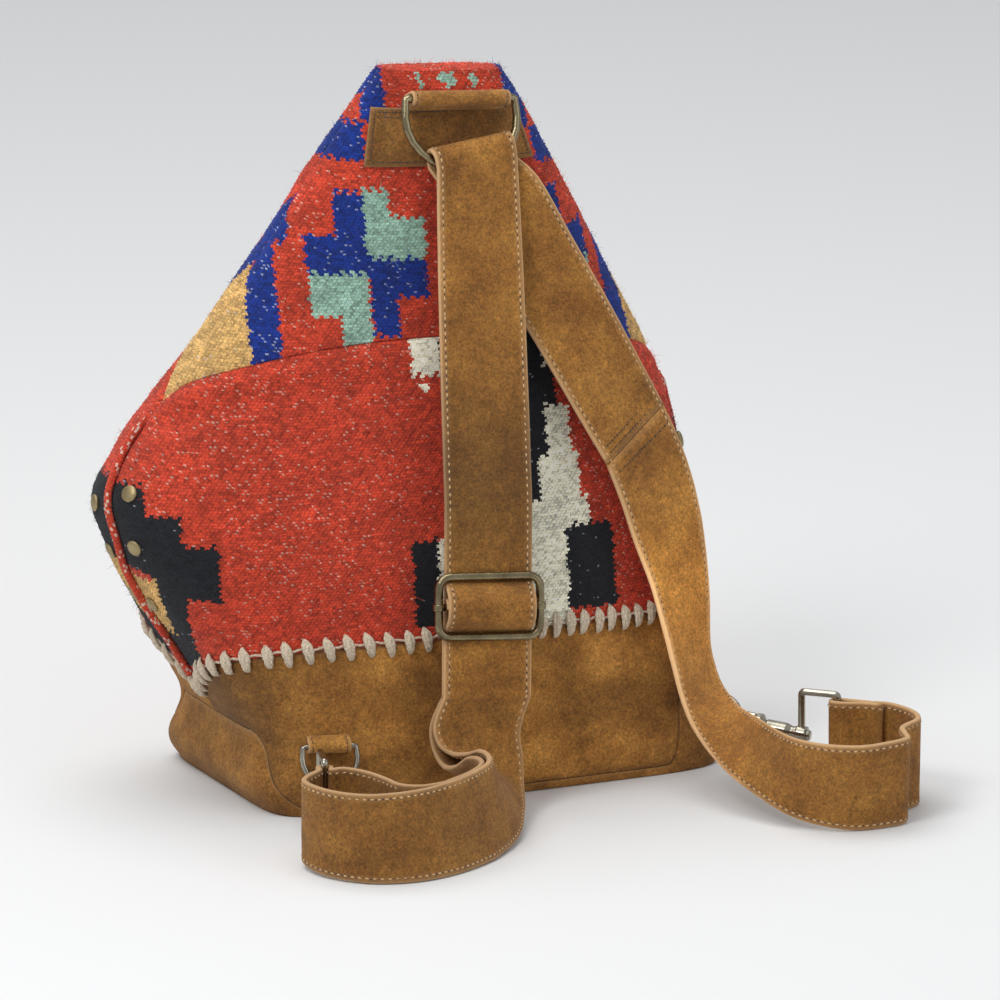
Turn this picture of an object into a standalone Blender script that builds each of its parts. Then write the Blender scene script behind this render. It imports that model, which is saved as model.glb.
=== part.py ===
# Kilim and suede shoulder bag with one long adjustable strap, standing on its base.
# The strap side faces -Y and the zipped front faces +Y. The origin is the middle of the underside.
import math

import bmesh
import bpy
from mathutils import Vector

# Bag body: level sections as height, reach left, reach right, depth back, depth front, roundness
BODY_LEVELS = [
    (0.000, 0.129, 0.130, 0.078, 0.076, 8.0),
    (0.015, 0.136, 0.133, 0.079, 0.078, 6.5),
    (0.035, 0.132, 0.131, 0.078, 0.079, 4.8),
    (0.053, 0.140, 0.131, 0.077, 0.078, 4.2),
    (0.076, 0.154, 0.133, 0.077, 0.077, 3.6),
    (0.100, 0.170, 0.134, 0.074, 0.075, 3.0),
    (0.128, 0.186, 0.134, 0.070, 0.071, 2.7),
    (0.155, 0.196, 0.131, 0.064, 0.067, 2.4),
    (0.180, 0.185, 0.126, 0.058, 0.061, 2.2),
    (0.205, 0.166, 0.119, 0.052, 0.054, 2.1),
    (0.254, 0.126, 0.095, 0.041, 0.042, 2.0),
    (0.316, 0.082, 0.064, 0.027, 0.028, 2.0),
    (0.357, 0.052, 0.042, 0.016, 0.016, 2.2),
    (0.374, 0.040, 0.031, 0.009, 0.009, 3.0),
]
TOP_LEAN = 0.09  # the narrow top leans down to the right, as a slope
FRONT_FLATTENING = 0.5  # how much squarer the zipped front is than the back
TOP_FOLD_RISE = 0.004  # the top edge is the wool rolled over, this much above the last level

# Skins
WOOL_THICKNESS = 0.003
SUEDE_THICKNESS = 0.0026
JOINT_GAP = 0.0003  # between pieces that touch
PANEL_COLUMNS = 22

# Seams, as heights
JOIN_HEIGHT_MIDDLE = 0.088  # wool to suede
JOIN_HEIGHT_SIDE = 0.053
YOKE_HEIGHT_MIDDLE = 0.248  # upper wool to lower wool
YOKE_HEIGHT_SIDE = 0.208
YOKE_FRONT_LEVEL = 0.60  # share of the front's width over which this seam stays level for the zip
BASE_END_HEIGHT = 0.040  # how far the ends of the bottom panel turn up
BASE_EDGE_HEIGHT = 0.004

# Jute stitches over the wool to suede join
STITCH_PITCH = 0.0115
STITCH_REACH = 0.0065
STITCH_WIDTH = 0.0056
STITCH_THICKNESS = 0.0026
THREAD_THICKNESS = 0.0010

# Side seams
WELT_RADIUS = 0.0022
WELT_TOP_HEIGHT = 0.200
RIVET_RADIUS = 0.0045
RIVET_RISE = 0.0018
RIVET_PLACES = {  # height and distance from the side seam, lowest first
    "back": ((0.1050, 0.0115), (0.1385, 0.0220), (0.1655, 0.0184)),
    "front": ((0.1050, 0.0115), (0.1290, 0.0120), (0.1550, 0.0105)),
}

# Top patch and tab
PATCH_THICKNESS = 0.002
PATCH_LOW = 0.331
PATCH_HIGH = 0.3645
PATCH_LEFT = 0.055
PATCH_RIGHT = 0.041
PATCH_TAPER = 0.008  # how much nearer the middle each end stands at the top
TAB_THICKNESS = 0.002
TOP_TAB_WIDTH = 0.056
TOP_TAB_SEATS = (-0.0012, -0.0072)  # where each layer meets the patch, from the bar's height

# Top ring
TOP_RING_MIDDLE = (-0.004, -0.0262, 0.3640)
TOP_RING_TILT = -0.09
TOP_RING_LEAN = 0.35
TOP_RING_HALF_WIDTH = 0.032
TOP_RING_ARM = 0.0100
TOP_RING_ARC = 0.0275
TOP_RING_WIRE = 0.0016
TOP_RING_CORNER = 0.0024

# Base tabs and rings
BASE_TAB_WIDTH = 0.0225
BASE_TAB_HEIGHT = 0.038
BASE_TAB_SPREAD = 0.0040
BASE_TAB_REACH = 0.0065  # from the suede to the ring's bar
LEFT_TAB_X = -0.1007
RIGHT_TAB_X = 0.1120
BASE_RING_HALF_WIDTH = 0.0145
BASE_RING_CORNER = 0.0018
BASE_RING_ARM = 0.006
BASE_RING_ARC = 0.015
BASE_RING_WIRE = 0.00125

# Hooks: how far the ring's wire lies from the eye's near bar, and where it is caught on the ring
HOOK_REACH = 0.042
LEFT_CATCH = -0.0110
RIGHT_CATCH = -0.0055
LEFT_HOOK_TOWARDS = (-0.1280, -0.1256, 0.0260)
RIGHT_HOOK_TOWARDS = (0.1500, -0.1215, 0.0260)
HOOK_WIRE = 0.0018
HOOK_HALF_GAPE = 0.0050
HOOK_NOSE_ROOM = 0.0007
HOOK_SHOULDER = 0.017
HOOK_BARREL_RADIUS = 0.0042
POST_RADIUS = 0.0015
GATE_RADIUS = 0.0013

# Eyes, the rectangular loops that hold the strap
EYE_WIRE = 0.0015
EYE_DEPTH = 0.020
EYE_BOTTOM = 0.0017
EYE_ROOM = 0.0006  # how much taller than the strap's width
EYE_CORNER = 0.0017
HUB_RADIUS = 0.0040
HUB_LENGTH = 0.0050

# Strap
STRAP_WIDTH = 0.047
STRAP_THICKNESS = 0.003
STRAP_END_SHARE = 0.92  # the end sewn round the eye is this much of the width
FOLD_SHARE = 0.968  # the strap's width where it is folded over the top ring
FOLD_OFFSET = 0.00375  # the fold's middle, from the ring's
FOLD_RADIUS = 0.0052
CURL_SLACK = 0.0060
CURL_SLACK_MIDDLE = 3.5  # counted in the curl's listed stations
FLAP_REACH = 0.75  # how far the sewn end runs back along the strap's last bend

# Slider on the left leg
SLIDER_MIDDLE = (-0.0210, -0.1010, 0.1100)
SLIDER_DOWN = (-0.07, -0.14, -0.985)
SLIDER_ACROSS = (0.98, -0.17, 0.0)
SLIDER_HALF_HEIGHT = 0.0158
SLIDER_CORNER = 0.006
SLIDER_WIRE = 0.00175
SLIDER_BAR_RADIUS = 0.0015
SLIDER_SIDE_ROOM = 0.0019
SLEEVE_RADIUS = 0.0032
SLEEVE_LENGTH = 0.0036

# Zip in the front
ZIP_MIDDLE_X = -0.014
ZIP_HALF_LENGTH = 0.052
ZIP_CLEARANCE = 0.0013  # between the wool's inner face and the tape
ZIP_BRIDGE_WIRE = 0.0007
ZIP_LEG_SHARE = 0.34  # the bridge's legs, from the slider's middle, as a share of its length
ZIP_SLOT = 0.0050
ZIP_TAPE_HALF_WIDTH = 0.0085
ZIP_TAPE_THICKNESS = 0.0007
ZIP_BEAD_HALF_WIDTH = 0.0022
ZIP_BEAD_THICKNESS = 0.0022
ZIP_SLIDER_LENGTH = 0.011
ZIP_SLIDER_HALF_WIDTH = 0.0038
ZIP_PLATE = 0.0010
ZIP_PULL_LENGTH = 0.026
ZIP_PULL_HALF_WIDTH = 0.0032
ZIP_PULL_THICKNESS = 0.0010
ZIP_PULL_LEVEL = 0.0026  # above the wool's outer face

UP = Vector((0, 0, 1))
FINE = 72


def clear_scene():
    for old in list(bpy.data.objects):
        bpy.data.objects.remove(old, do_unlink=True)


def finish(name, colour, roughness, metallic=0.0):
    material = bpy.data.materials.new(name)
    material.use_nodes = True
    shader = material.node_tree.nodes["Principled BSDF"]
    shader.inputs["Base Color"].default_value = (*colour, 1.0)
    shader.inputs["Roughness"].default_value = roughness
    shader.inputs["Metallic"].default_value = metallic
    material.diffuse_color = (*colour, 1.0)
    return material


def add_object(name, mesh, material):
    mesh.materials.clear()
    mesh.materials.append(material)
    piece = bpy.data.objects.new(name, mesh)
    bpy.context.scene.collection.objects.link(piece)
    return piece


def set_origin(piece, place):
    """puts the piece's origin on its joint axis and leaves its shape where it is"""
    for vertex in piece.data.vertices:
        vertex.co -= Vector(place)
    piece.location = place


# Shape of the body


def curve_value(rows, column, height):
    """smooth value between the listed levels"""
    height = min(max(height, rows[0][0]), rows[-1][0])
    for k in range(len(rows) - 1):
        if height <= rows[k + 1][0]:
            break
    before = rows[max(k - 1, 0)]
    low, high = rows[k], rows[k + 1]
    after = rows[min(k + 2, len(rows) - 1)]
    span = high[0] - low[0]
    t = (height - low[0]) / span
    slope_low = (high[column] - before[column]) / (high[0] - before[0]) * span
    slope_high = (after[column] - low[column]) / (after[0] - low[0]) * span
    t2, t3 = t * t, t * t * t
    return (
        (2 * t3 - 3 * t2 + 1) * low[column]
        + (t3 - 2 * t2 + t) * slope_low
        + (-2 * t3 + 3 * t2) * high[column]
        + (t3 - t2) * slope_high
    )


outline_cache = {}


def body_outline(side, height):
    """half of a level section, from the left seam to the right seam, with its length so far"""
    key = (side, round(height, 7))
    if key in outline_cache:
        return outline_cache[key]
    left, right, back, front, roundness = (curve_value(BODY_LEVELS, c, height) for c in range(1, 6))
    depth = back if side < 0 else front
    power = 2 / (roundness + (FRONT_FLATTENING if side > 0 else 0))
    points, lengths = [], []
    for step in range(FINE + 1):
        angle = math.pi * (1 - step / FINE)
        along, out = math.cos(angle), abs(math.sin(angle))
        reach = left if along < 0 else right
        x = math.copysign(reach * abs(along) ** power, along)
        y = side * depth * (out**power if out > 1e-9 else 0)
        point = Vector((x, y, height - TOP_LEAN * x * (height / BODY_LEVELS[-1][0]) ** 2))
        lengths.append(lengths[-1] + (point - points[-1]).length if points else 0.0)
        points.append(point)
    outline_cache[key] = points, lengths
    return points, lengths


def body_point(side, across, height):
    """a point of the outer surface; across runs from 0 at the left seam to 1 at the right one"""
    if across < 0:
        side, across = -side, -across
    if across > 1:
        side, across = -side, 2 - across
    points, lengths = body_outline(side, height)
    wanted = across * lengths[-1]
    low, high = 0, FINE
    while high - low > 1:
        middle = (low + high) // 2
        if lengths[middle] <= wanted:
            low = middle
        else:
            high = middle
    share = (wanted - lengths[low]) / (lengths[high] - lengths[low])
    return points[low].lerp(points[high], share)


def body_normal(side, across, height):
    step, rise = 0.012, 0.003
    along = body_point(side, across + step, height) - body_point(side, across - step, height)
    top = BODY_LEVELS[-1][0]
    above, below = min(height + rise, top), max(height - rise, 0)
    upward = body_point(side, across, above) - body_point(side, across, below)
    normal = along.cross(upward) * -side
    if normal.length < 1e-12:
        normal = Vector((0, side, 0))
    return normal.normalized()


def skin_point(side, across, height, proud):
    return body_point(side, across, height) + body_normal(side, across, height) * proud


def across_at(side, x, height):
    """the share of the way across at which the surface has this x"""
    low, high = 0.0, 1.0
    for _ in range(40):
        middle = (low + high) / 2
        if body_point(side, middle, height).x < x:
            low = middle
        else:
            high = middle
    return low


def join_height(across):
    off = abs(2 * across - 1)
    return JOIN_HEIGHT_MIDDLE - (JOIN_HEIGHT_MIDDLE - JOIN_HEIGHT_SIDE) * off**5


def yoke_height(side, across):
    off = abs(2 * across - 1)
    if side > 0:
        off = max(off - YOKE_FRONT_LEVEL, 0.0) / (1 - YOKE_FRONT_LEVEL)
    return YOKE_HEIGHT_MIDDLE - (YOKE_HEIGHT_MIDDLE - YOKE_HEIGHT_SIDE) * off**2.2


def base_edge_height(across):
    off = abs(2 * across - 1)
    t = min(max((off - 0.58) / 0.20, 0.0), 1.0)
    return BASE_EDGE_HEIGHT + (BASE_END_HEIGHT - BASE_EDGE_HEIGHT) * t * t * (3 - 2 * t)


def seam_gap(side, seam, across):
    """half of the gap between two skins, as a height, where their seam may slope"""
    step = 0.01
    first, second = max(across - step, 0.0), min(across + step, 1.0)
    rise = seam(second) - seam(first)
    run = (body_point(side, second, seam(across)) - body_point(side, first, seam(across))).length
    return JOINT_GAP * 0.75 * math.sqrt(1 + (rise / run) ** 2)


def zip_opening(across, height):
    """how far the front panels stand apart for the zip"""
    x = body_point(1, across, height).x
    past = abs(x - ZIP_MIDDLE_X) - ZIP_HALF_LENGTH
    t = min(max(1 - past / 0.012, 0.0), 1.0)
    return ZIP_SLOT * t * t * (3 - 2 * t)


# Mesh helpers


def closed_mesh(name, corners, faces):
    mesh = bpy.data.meshes.new(name)
    mesh.from_pydata([tuple(c) for c in corners], [], faces)
    shape = bmesh.new()
    shape.from_mesh(mesh)
    bmesh.ops.remove_doubles(shape, verts=shape.verts, dist=1e-7)
    bmesh.ops.recalc_face_normals(shape, faces=shape.faces)
    shape.to_mesh(mesh)
    shape.free()
    return mesh


def shell(name, outer, inner, material, looped=False):
    """a skin between two grids of points of the same size"""
    rows, columns = len(outer), len(outer[0])
    corners = [p for row in outer for p in row] + [p for row in inner for p in row]
    start = rows * columns

    def at(layer, row, column):
        return layer * start + row * columns + column % columns

    last = columns if looped else columns - 1
    faces = []
    for r in range(rows - 1):
        for c in range(last):
            faces.append((at(0, r, c), at(0, r, c + 1), at(0, r + 1, c + 1), at(0, r + 1, c)))
            faces.append((at(1, r, c), at(1, r + 1, c), at(1, r + 1, c + 1), at(1, r, c + 1)))
    for r in (0, rows - 1):
        for c in range(last):
            faces.append((at(0, r, c), at(0, r, c + 1), at(1, r, c + 1)))
            faces.append((at(0, r, c), at(1, r, c + 1), at(1, r, c)))
    if not looped:
        for r in range(rows - 1):
            faces.append((at(0, r, 0), at(0, r + 1, 0), at(1, r + 1, 0), at(1, r, 0)))
            end = columns - 1
            faces.append((at(0, r, end), at(1, r, end), at(1, r + 1, end), at(0, r + 1, end)))
    piece = add_object(name, closed_mesh(name, corners, faces), material)
    piece.data.shade_smooth()
    piece.data.set_sharp_from_angle(angle=math.radians(40))
    return piece


def column_place(column):
    """columns stand closer together near the side seams, where the skin bends most"""
    share = column / PANEL_COLUMNS
    return share - 0.11 * math.sin(2 * math.pi * share)


def panel(side, low_edge, high_edge, rows, thickness):
    """a skin of half the body between two edges given as heights"""
    outer, inner = [], []
    for r in range(rows + 1):
        outer_row, inner_row = [], []
        for c in range(PANEL_COLUMNS + 1):
            across = column_place(c)
            low, high = low_edge(across), high_edge(across)
            height = low + (high - low) * r / rows
            for row, depth in ((outer_row, 0.0), (inner_row, -thickness)):
                point = skin_point(side, across, height, depth)
                if point.y * side < JOINT_GAP / 2:
                    point.y = side * JOINT_GAP / 2
                row.append(point)
        outer.append(outer_row)
        inner.append(inner_row)
    return outer, inner


def tube_mesh(name, points, radius, closed=False, resolution=2):
    """a round wire along points"""
    curve = bpy.data.curves.new(name, "CURVE")
    curve.dimensions = "3D"
    curve.twist_mode = "MINIMUM"
    curve.bevel_depth = radius
    curve.bevel_resolution = resolution
    curve.use_fill_caps = not closed
    spline = curve.splines.new("POLY")
    spline.points.add(len(points) - 1)
    for target, point in zip(spline.points, points):
        target.co = (*point, 1.0)
    spline.use_cyclic_u = closed
    guide = bpy.data.objects.new(name + "_guide", curve)
    bpy.context.scene.collection.objects.link(guide)
    mesh = bpy.data.meshes.new_from_object(guide)
    bpy.data.objects.remove(guide, do_unlink=True)
    shape = bmesh.new()
    shape.from_mesh(mesh)
    bmesh.ops.remove_doubles(shape, verts=shape.verts, dist=1e-7)
    bmesh.ops.recalc_face_normals(shape, faces=shape.faces)
    shape.to_mesh(mesh)
    shape.free()
    mesh.shade_smooth()
    mesh.set_sharp_from_angle(angle=math.radians(50))
    return mesh


def turned_mesh(name, profile, base, axis, steps=12):
    """a piece turned about an axis; profile gives (distance along the axis, radius)"""
    axis = Vector(axis).normalized()
    side = axis.orthogonal().normalized()
    shape = bmesh.new()
    line = [shape.verts.new(Vector(base) + axis * along + side * radius) for along, radius in profile]
    edges = [shape.edges.new((line[k], line[k + 1])) for k in range(len(line) - 1)]
    bmesh.ops.spin(
        shape,
        geom=line + edges,
        cent=base,
        axis=axis,
        angle=2 * math.pi,
        steps=steps,
        use_merge=True,
    )
    bmesh.ops.remove_doubles(shape, verts=shape.verts, dist=1e-6)
    bmesh.ops.recalc_face_normals(shape, faces=shape.faces)
    mesh = bpy.data.meshes.new(name)
    shape.to_mesh(mesh)
    shape.free()
    mesh.shade_smooth()
    mesh.set_sharp_from_angle(angle=math.radians(40))
    return mesh


def combine(piece, mesh, operation):
    """cuts or adds a helper shape, which stays hidden"""
    helper = bpy.data.objects.new(piece.name + "_helper", mesh)
    bpy.context.scene.collection.objects.link(helper)
    helper.hide_render = True
    helper.display_type = "WIRE"
    helper.hide_viewport = False
    modifier = piece.modifiers.new(operation.lower(), "BOOLEAN")
    modifier.operation = operation
    modifier.object = helper
    return helper


def smooth_line(points, per_span):
    """a smooth line through points, with this many steps between two of them"""
    result = []
    for k in range(len(points) - 1):
        before, low = points[max(k - 1, 0)], points[k]
        high, after = points[k + 1], points[min(k + 2, len(points) - 1)]
        for step in range(per_span):
            t = step / per_span
            t2, t3 = t * t, t * t * t
            result.append(
                low * (1.5 * t3 - 2.5 * t2 + 1)
                + high * (-1.5 * t3 + 2 * t2 + 0.5 * t)
                + before * (-0.5 * t3 + t2 - 0.5 * t)
                + after * (0.5 * t3 - 0.5 * t2)
            )
    result.append(points[-1])
    return result


def ribbon(name, stations, thickness, material, floor=None):
    """a flat strip; each station is (middle, half width vector)"""
    corners, faces = [], []
    count = len(stations)
    for k, (middle, half) in enumerate(stations):
        ahead = stations[min(k + 1, count - 1)][0] - stations[max(k - 1, 0)][0]
        normal = half.cross(ahead).normalized() * (thickness / 2)
        ring = [
            middle - half + normal,
            middle + normal,
            middle + half + normal,
            middle + half - normal,
            middle - normal,
            middle - half - normal,
        ]
        if floor is not None:
            for corner in ring:
                corner.z = max(corner.z, floor)
        corners += ring
    for k in range(count - 1):
        for c in range(6):
            d = (c + 1) % 6
            faces.append((6 * k + c, 6 * k + d, 6 * k + 6 + d, 6 * k + 6 + c))
    last = 6 * (count - 1)
    for first in (0, last):
        faces.append((first, first + 1, first + 4, first + 5))
        faces.append((first + 1, first + 2, first + 3, first + 4))
    piece = add_object(name, closed_mesh(name, corners, faces), material)
    piece.data.shade_smooth()
    piece.data.set_sharp_from_angle(angle=math.radians(40))
    return piece


# Skins of the body


def build_skins(looks):
    gap = JOINT_GAP / 2
    for word, side in (("back", -1), ("front", 1)):
        opening = zip_opening if side > 0 else (lambda across, height: 0.0)
        outer, inner = panel(
            side,
            lambda a: base_edge_height(a) + seam_gap(side, base_edge_height, a),
            lambda a: join_height(a) - gap,
            4,
            SUEDE_THICKNESS,
        )
        shell("suede_base_" + word, outer, inner, looks["suede"])
        outer, inner = panel(
            side,
            lambda a: join_height(a) + gap,
            lambda a: yoke_height(side, a) - gap - opening(a, YOKE_HEIGHT_MIDDLE),
            10,
            WOOL_THICKNESS,
        )
        shell("kilim_lower_" + word, outer, inner, looks["wool"])
        top = BODY_LEVELS[-1][0]
        outer, inner = panel(
            side,
            lambda a: yoke_height(side, a) + gap + opening(a, YOKE_HEIGHT_MIDDLE),
            lambda a: top - (JOINT_GAP if side > 0 else 0),
            6,
            WOOL_THICKNESS,
        )
        if side < 0:
            roll_over(outer, inner)
        shell("kilim_upper_" + word, outer, inner, looks["wool"])


def roll_over(outer, inner):
    """carries the back wool over the top edge as a rolled fold"""
    rim, inside = outer[-1], inner[-1]
    for turn in (50, 90, 130, 180):
        angle = math.radians(turn)
        swing, rise = math.cos(angle), math.sin(angle)
        outer_row, inner_row = [], []
        for edge, back in zip(rim, inside):
            lift = Vector((0, 0, TOP_FOLD_RISE * rise))
            outer_row.append(Vector((edge.x, edge.y * swing, edge.z)) + lift)
            low = Vector((0, 0, (TOP_FOLD_RISE - WOOL_THICKNESS) * rise))
            inner_row.append(Vector((back.x, back.y * swing, back.z)) + low)
        outer.append(outer_row)
        inner.append(inner_row)


def build_bottom(looks):
    """the bottom panel, whose ends turn up round the base"""
    around = [(-1, column_place(c)) for c in range(PANEL_COLUMNS)]
    around += [(1, 1 - column_place(c)) for c in range(PANEL_COLUMNS)]
    levels = (0.0, 0.35, 0.7, 1.0)
    outer, inner = [], []
    for share in (0.45, 0.9):
        outer.append([body_point(s, a, 0) * share for s, a in around])
        rows = [skin_point(s, a, 0, -SUEDE_THICKNESS) * share for s, a in around]
        inner.append([Vector((p.x, p.y, SUEDE_THICKNESS)) for p in rows])
    for level in levels:
        outer_row, inner_row = [], []
        for side, across in around:
            edge = base_edge_height(across) - seam_gap(side, base_edge_height, across)
            height = edge * level
            outer_row.append(body_point(side, across, height))
            point = skin_point(side, across, height, -SUEDE_THICKNESS)
            if height < 2 * SUEDE_THICKNESS:
                point.z = max(point.z, SUEDE_THICKNESS * (1 + 0.2 * level))
            inner_row.append(point)
        outer.append(outer_row)
        inner.append(inner_row)
    columns = len(around)
    corners = [p for row in outer for p in row] + [p for row in inner for p in row]
    rows = len(outer)
    start = rows * columns
    faces = []
    for r in range(rows - 1):
        for c in range(columns):
            d = (c + 1) % columns
            faces.append((r * columns + c, r * columns + d, (r + 1) * columns + d, (r + 1) * columns + c))
            faces.append(
                (
                    start + r * columns + c,
                    start + (r + 1) * columns + c,
                    start + (r + 1) * columns + d,
                    start + r * columns + d,
                )
            )
    end = (rows - 1) * columns
    for c in range(columns):
        d = (c + 1) % columns
        first, second = (c, d) if around[c][0] < 0 else (d, c)
        faces.append((end + first, end + second, start + end + second))
        faces.append((end + first, start + end + second, start + end + first))
    faces.append(tuple(range(columns)))
    faces.append(tuple(range(start, start + columns)))
    piece = add_object("bottom_panel", closed_mesh("bottom_panel", corners, faces), looks["suede"])
    piece.data.shade_smooth()
    piece.data.set_sharp_from_angle(angle=math.radians(40))


def build_stitching(looks):
    """lens-shaped jute stitches joined by a thread along the edge of the wool"""
    loop = []
    for side in (-1, 1):
        length = sum(
            (
                body_point(side, (k + 1) / 60, join_height((k + 1) / 60))
                - body_point(side, k / 60, join_height(k / 60))
            ).length
            for k in range(60)
        )
        count = max(4, round(length / STITCH_PITCH))
        half = STITCH_WIDTH / STITCH_PITCH / 2
        for k in range(count):
            for share, reach, rise in (
                (0.5 - half, 0.25, 0.35),
                (0.5, 1.0, 1.0),
                (0.5 + half, 0.25, 0.35),
            ):
                across = (k + share) / count
                if side > 0:
                    across = 1 - across
                loop.append((side, across, reach * STITCH_REACH, rise * STITCH_THICKNESS))
    corners, faces = [], []
    for side, across, reach, rise in loop:
        height = join_height(across)
        rise = max(rise, THREAD_THICKNESS)
        for up, proud in ((-reach, 0), (-reach * 0.7, rise), (reach * 0.7, rise), (reach, 0)):
            corners.append(skin_point(side, across, height + up, JOINT_GAP + proud))
    count = len(loop)
    for k in range(count):
        n = (k + 1) % count
        for c in range(4):
            d = (c + 1) % 4
            faces.append((4 * k + c, 4 * k + d, 4 * n + d, 4 * n + c))
    piece = add_object("jute_stitching", closed_mesh("jute_stitching", corners, faces), looks["jute"])
    piece.data.shade_smooth()


def build_side_seams(looks):
    for word, across in (("left", 0.0), ("right", 1.0)):
        low = JOIN_HEIGHT_SIDE + STITCH_REACH + 0.003
        points = []
        steps = 15
        for k in range(steps + 1):
            height = low + (WELT_TOP_HEIGHT - low) * k / steps
            point = skin_point(-1, across, height, WELT_RADIUS + JOINT_GAP)
            point.y = 0
            points.append(point)
        mesh = tube_mesh(word + "_side_welt", points, WELT_RADIUS, resolution=1)
        add_object(word + "_side_welt", mesh, looks["wool"])
        for face, side in (("back", -1), ("front", 1)):
            for number, (height, from_seam) in enumerate(RIVET_PLACES[face], 1):
                share = from_seam / body_outline(side, height)[1][-1]
                place = share if across == 0 else 1 - share
                seat = skin_point(side, place, height, JOINT_GAP + 0.0001)
                profile = (
                    (0, 0),
                    (0, RIVET_RADIUS),
                    (RIVET_RISE * 0.45, RIVET_RADIUS * 0.95),
                    (RIVET_RISE * 0.9, RIVET_RADIUS * 0.6),
                    (RIVET_RISE, 0),
                )
                name = f"rivet_{word}_{face}_{number}"
                mesh = turned_mesh(name, profile, seat, body_normal(side, place, height), 9)
                add_object(name, mesh, looks["brass"])


def build_patch(looks):
    """the top patch, a rectangle sewn on the back just under the top edge"""
    outer, inner = [], []
    rows, columns = 4, 12
    top = BODY_LEVELS[-1][0]
    for r in range(rows + 1):
        level = PATCH_LOW + (PATCH_HIGH - PATCH_LOW) * r / rows
        left, right = PATCH_LEFT - PATCH_TAPER * r / rows, PATCH_RIGHT - PATCH_TAPER * r / rows
        outer_row, inner_row = [], []
        for c in range(columns + 1):
            x = -left + (left + right) * c / columns
            height = min(level + TOP_LEAN * x * (level / top) ** 2, top)
            across = across_at(-1, x, height)
            outer_row.append(skin_point(-1, across, height, PATCH_THICKNESS + JOINT_GAP))
            inner_row.append(skin_point(-1, across, height, JOINT_GAP))
        outer.append(outer_row)
        inner.append(inner_row)
    shell("top_patch", outer, inner, looks["suede"])


# Rings and tabs


def ring_frame(middle, bar, pendant):
    bar = Vector(bar).normalized()
    pendant = Vector(pendant)
    pendant = (pendant - bar * pendant.dot(bar)).normalized()
    return Vector(middle), bar, pendant


def ring_depth(ring, sideways):
    half, arm, arc = ring["half"], ring["arm"], ring["arc"]
    return arm + arc * math.sqrt(max(0.0, 1 - (sideways / half) ** 2))


def ring_point(ring, sideways):
    middle, bar, pendant = ring["frame"]
    return middle + bar * sideways + pendant * ring_depth(ring, sideways)


def ring_direction(ring, sideways):
    step = 0.0003
    return (ring_point(ring, sideways + step) - ring_point(ring, sideways - step)).normalized()


def build_ring(name, ring, material):
    """a D-shaped ring: a straight bar, two short arms and an arc"""
    middle, bar, pendant = ring["frame"]
    half, arm = ring["half"], ring["arm"]
    corner = ring["corner"]
    points = [middle - bar * (half - corner), middle + bar * (half - corner)]
    points.append(middle + bar * (half - corner * 0.3) + pendant * corner * 0.3)
    steps = 13
    for step in range(steps + 1):
        angle = math.pi * step / steps
        down = arm + ring["arc"] * math.sin(angle)
        points.append(middle + bar * half * math.cos(angle) + pendant * down)
    points.append(middle - bar * (half - corner * 0.3) + pendant * corner * 0.3)
    mesh = tube_mesh(name, points, ring["wire"], closed=True)
    piece = add_object(name, mesh, material)
    set_origin(piece, middle)
    return piece


def build_tab(name, ring, width, seats, outward, material):
    """a suede loop round a ring's bar; each seat is (distance back, rise) of an end on the bag"""
    middle, bar, _ = ring["frame"]
    outward = Vector(outward)
    outward = (outward - bar * outward.dot(bar)).normalized()
    upward = bar.cross(outward).normalized()
    if upward.z < 0:
        upward = -upward
    turn = ring["wire"] + JOINT_GAP + TAB_THICKNESS / 2
    (upper, high), (lower, low) = seats
    path = [(-upper, high), (-upper * 0.6, high * 0.5 + turn * 0.5), (-turn * 0.5, turn * 0.98)]
    for degrees in (75, 50, 25, 0, -25, -50, -75):
        angle = math.radians(degrees)
        path.append((turn * math.cos(angle), turn * math.sin(angle)))
    path += [(-turn * 0.5, -turn * 0.98 + low * 0.1), (-lower * 0.6, low * 0.5 - turn * 0.5), (-lower, low)]
    half = bar * width / 2
    stations = [(middle + outward * out + upward * up, half) for out, up in path]
    return ribbon(name, stations, TAB_THICKNESS, material)


# Strap


def strap_frame():
    down = Vector(SLIDER_DOWN).normalized()
    across = Vector(SLIDER_ACROSS)
    across = (across - down * across.dot(down)).normalized()
    near = down.cross(across).normalized()
    return Vector(SLIDER_MIDDLE), down, across, near


def edge_pairs(pairs):
    """stations from listed edge points in millimetres, top or left edge first"""
    stations = []
    for first, second in pairs:
        left, right = Vector(first) * 0.001, Vector(second) * 0.001
        middle = (left + right) / 2
        half = (right - left) / 2
        stations.append((middle, half * (STRAP_WIDTH / 0.047)))
    return stations


# Left leg below the slider: it turns on its edge, curls, and sweeps left along the floor
CURL_PAIRS = [
    ((-54, -103, 50), (-7, -109, 44)),
    ((-54, -109, 41), (-7, -112, 29)),
    ((-50, -117, 38), (-9, -117, 17)),
    ((-47, -129, 41), (-13, -127, 10)),
    ((-46, -142, 46), (-20, -141, 6.5)),
    ((-47, -156, 47.5), (-29, -157, 3.5)),
    ((-53, -169, 47.2), (-42, -173, 1.5)),
]
BAND_PAIRS = [
    ((-66, -181, 47), (-58, -188, 0.4)),
    ((-84, -192, 47), (-80, -201, 0)),
    ((-106, -200, 47), (-106, -208, 0)),
    ((-130, -199, 47), (-130, -203, 0)),
    ((-145, -187, 47), (-146, -188, 0.5)),
    ((-152, -170, 47), (-152.5, -171, 1.5)),
    ((-151, -156, 47), (-151, -156, 3)),
]
LOOP_BACK_PAIRS = [
    ((-124, -146, 47), (-124, -146, 3)),
    ((-116.5, -157, 47), (-116.5, -157, 1.5)),
    ((-112.5, -171, 47), (-112.5, -171, 0)),
    ((-110, -186, 47), (-110, -187, 0)),
    ((-100, -193, 47), (-100, -199, 0)),
]
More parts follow.
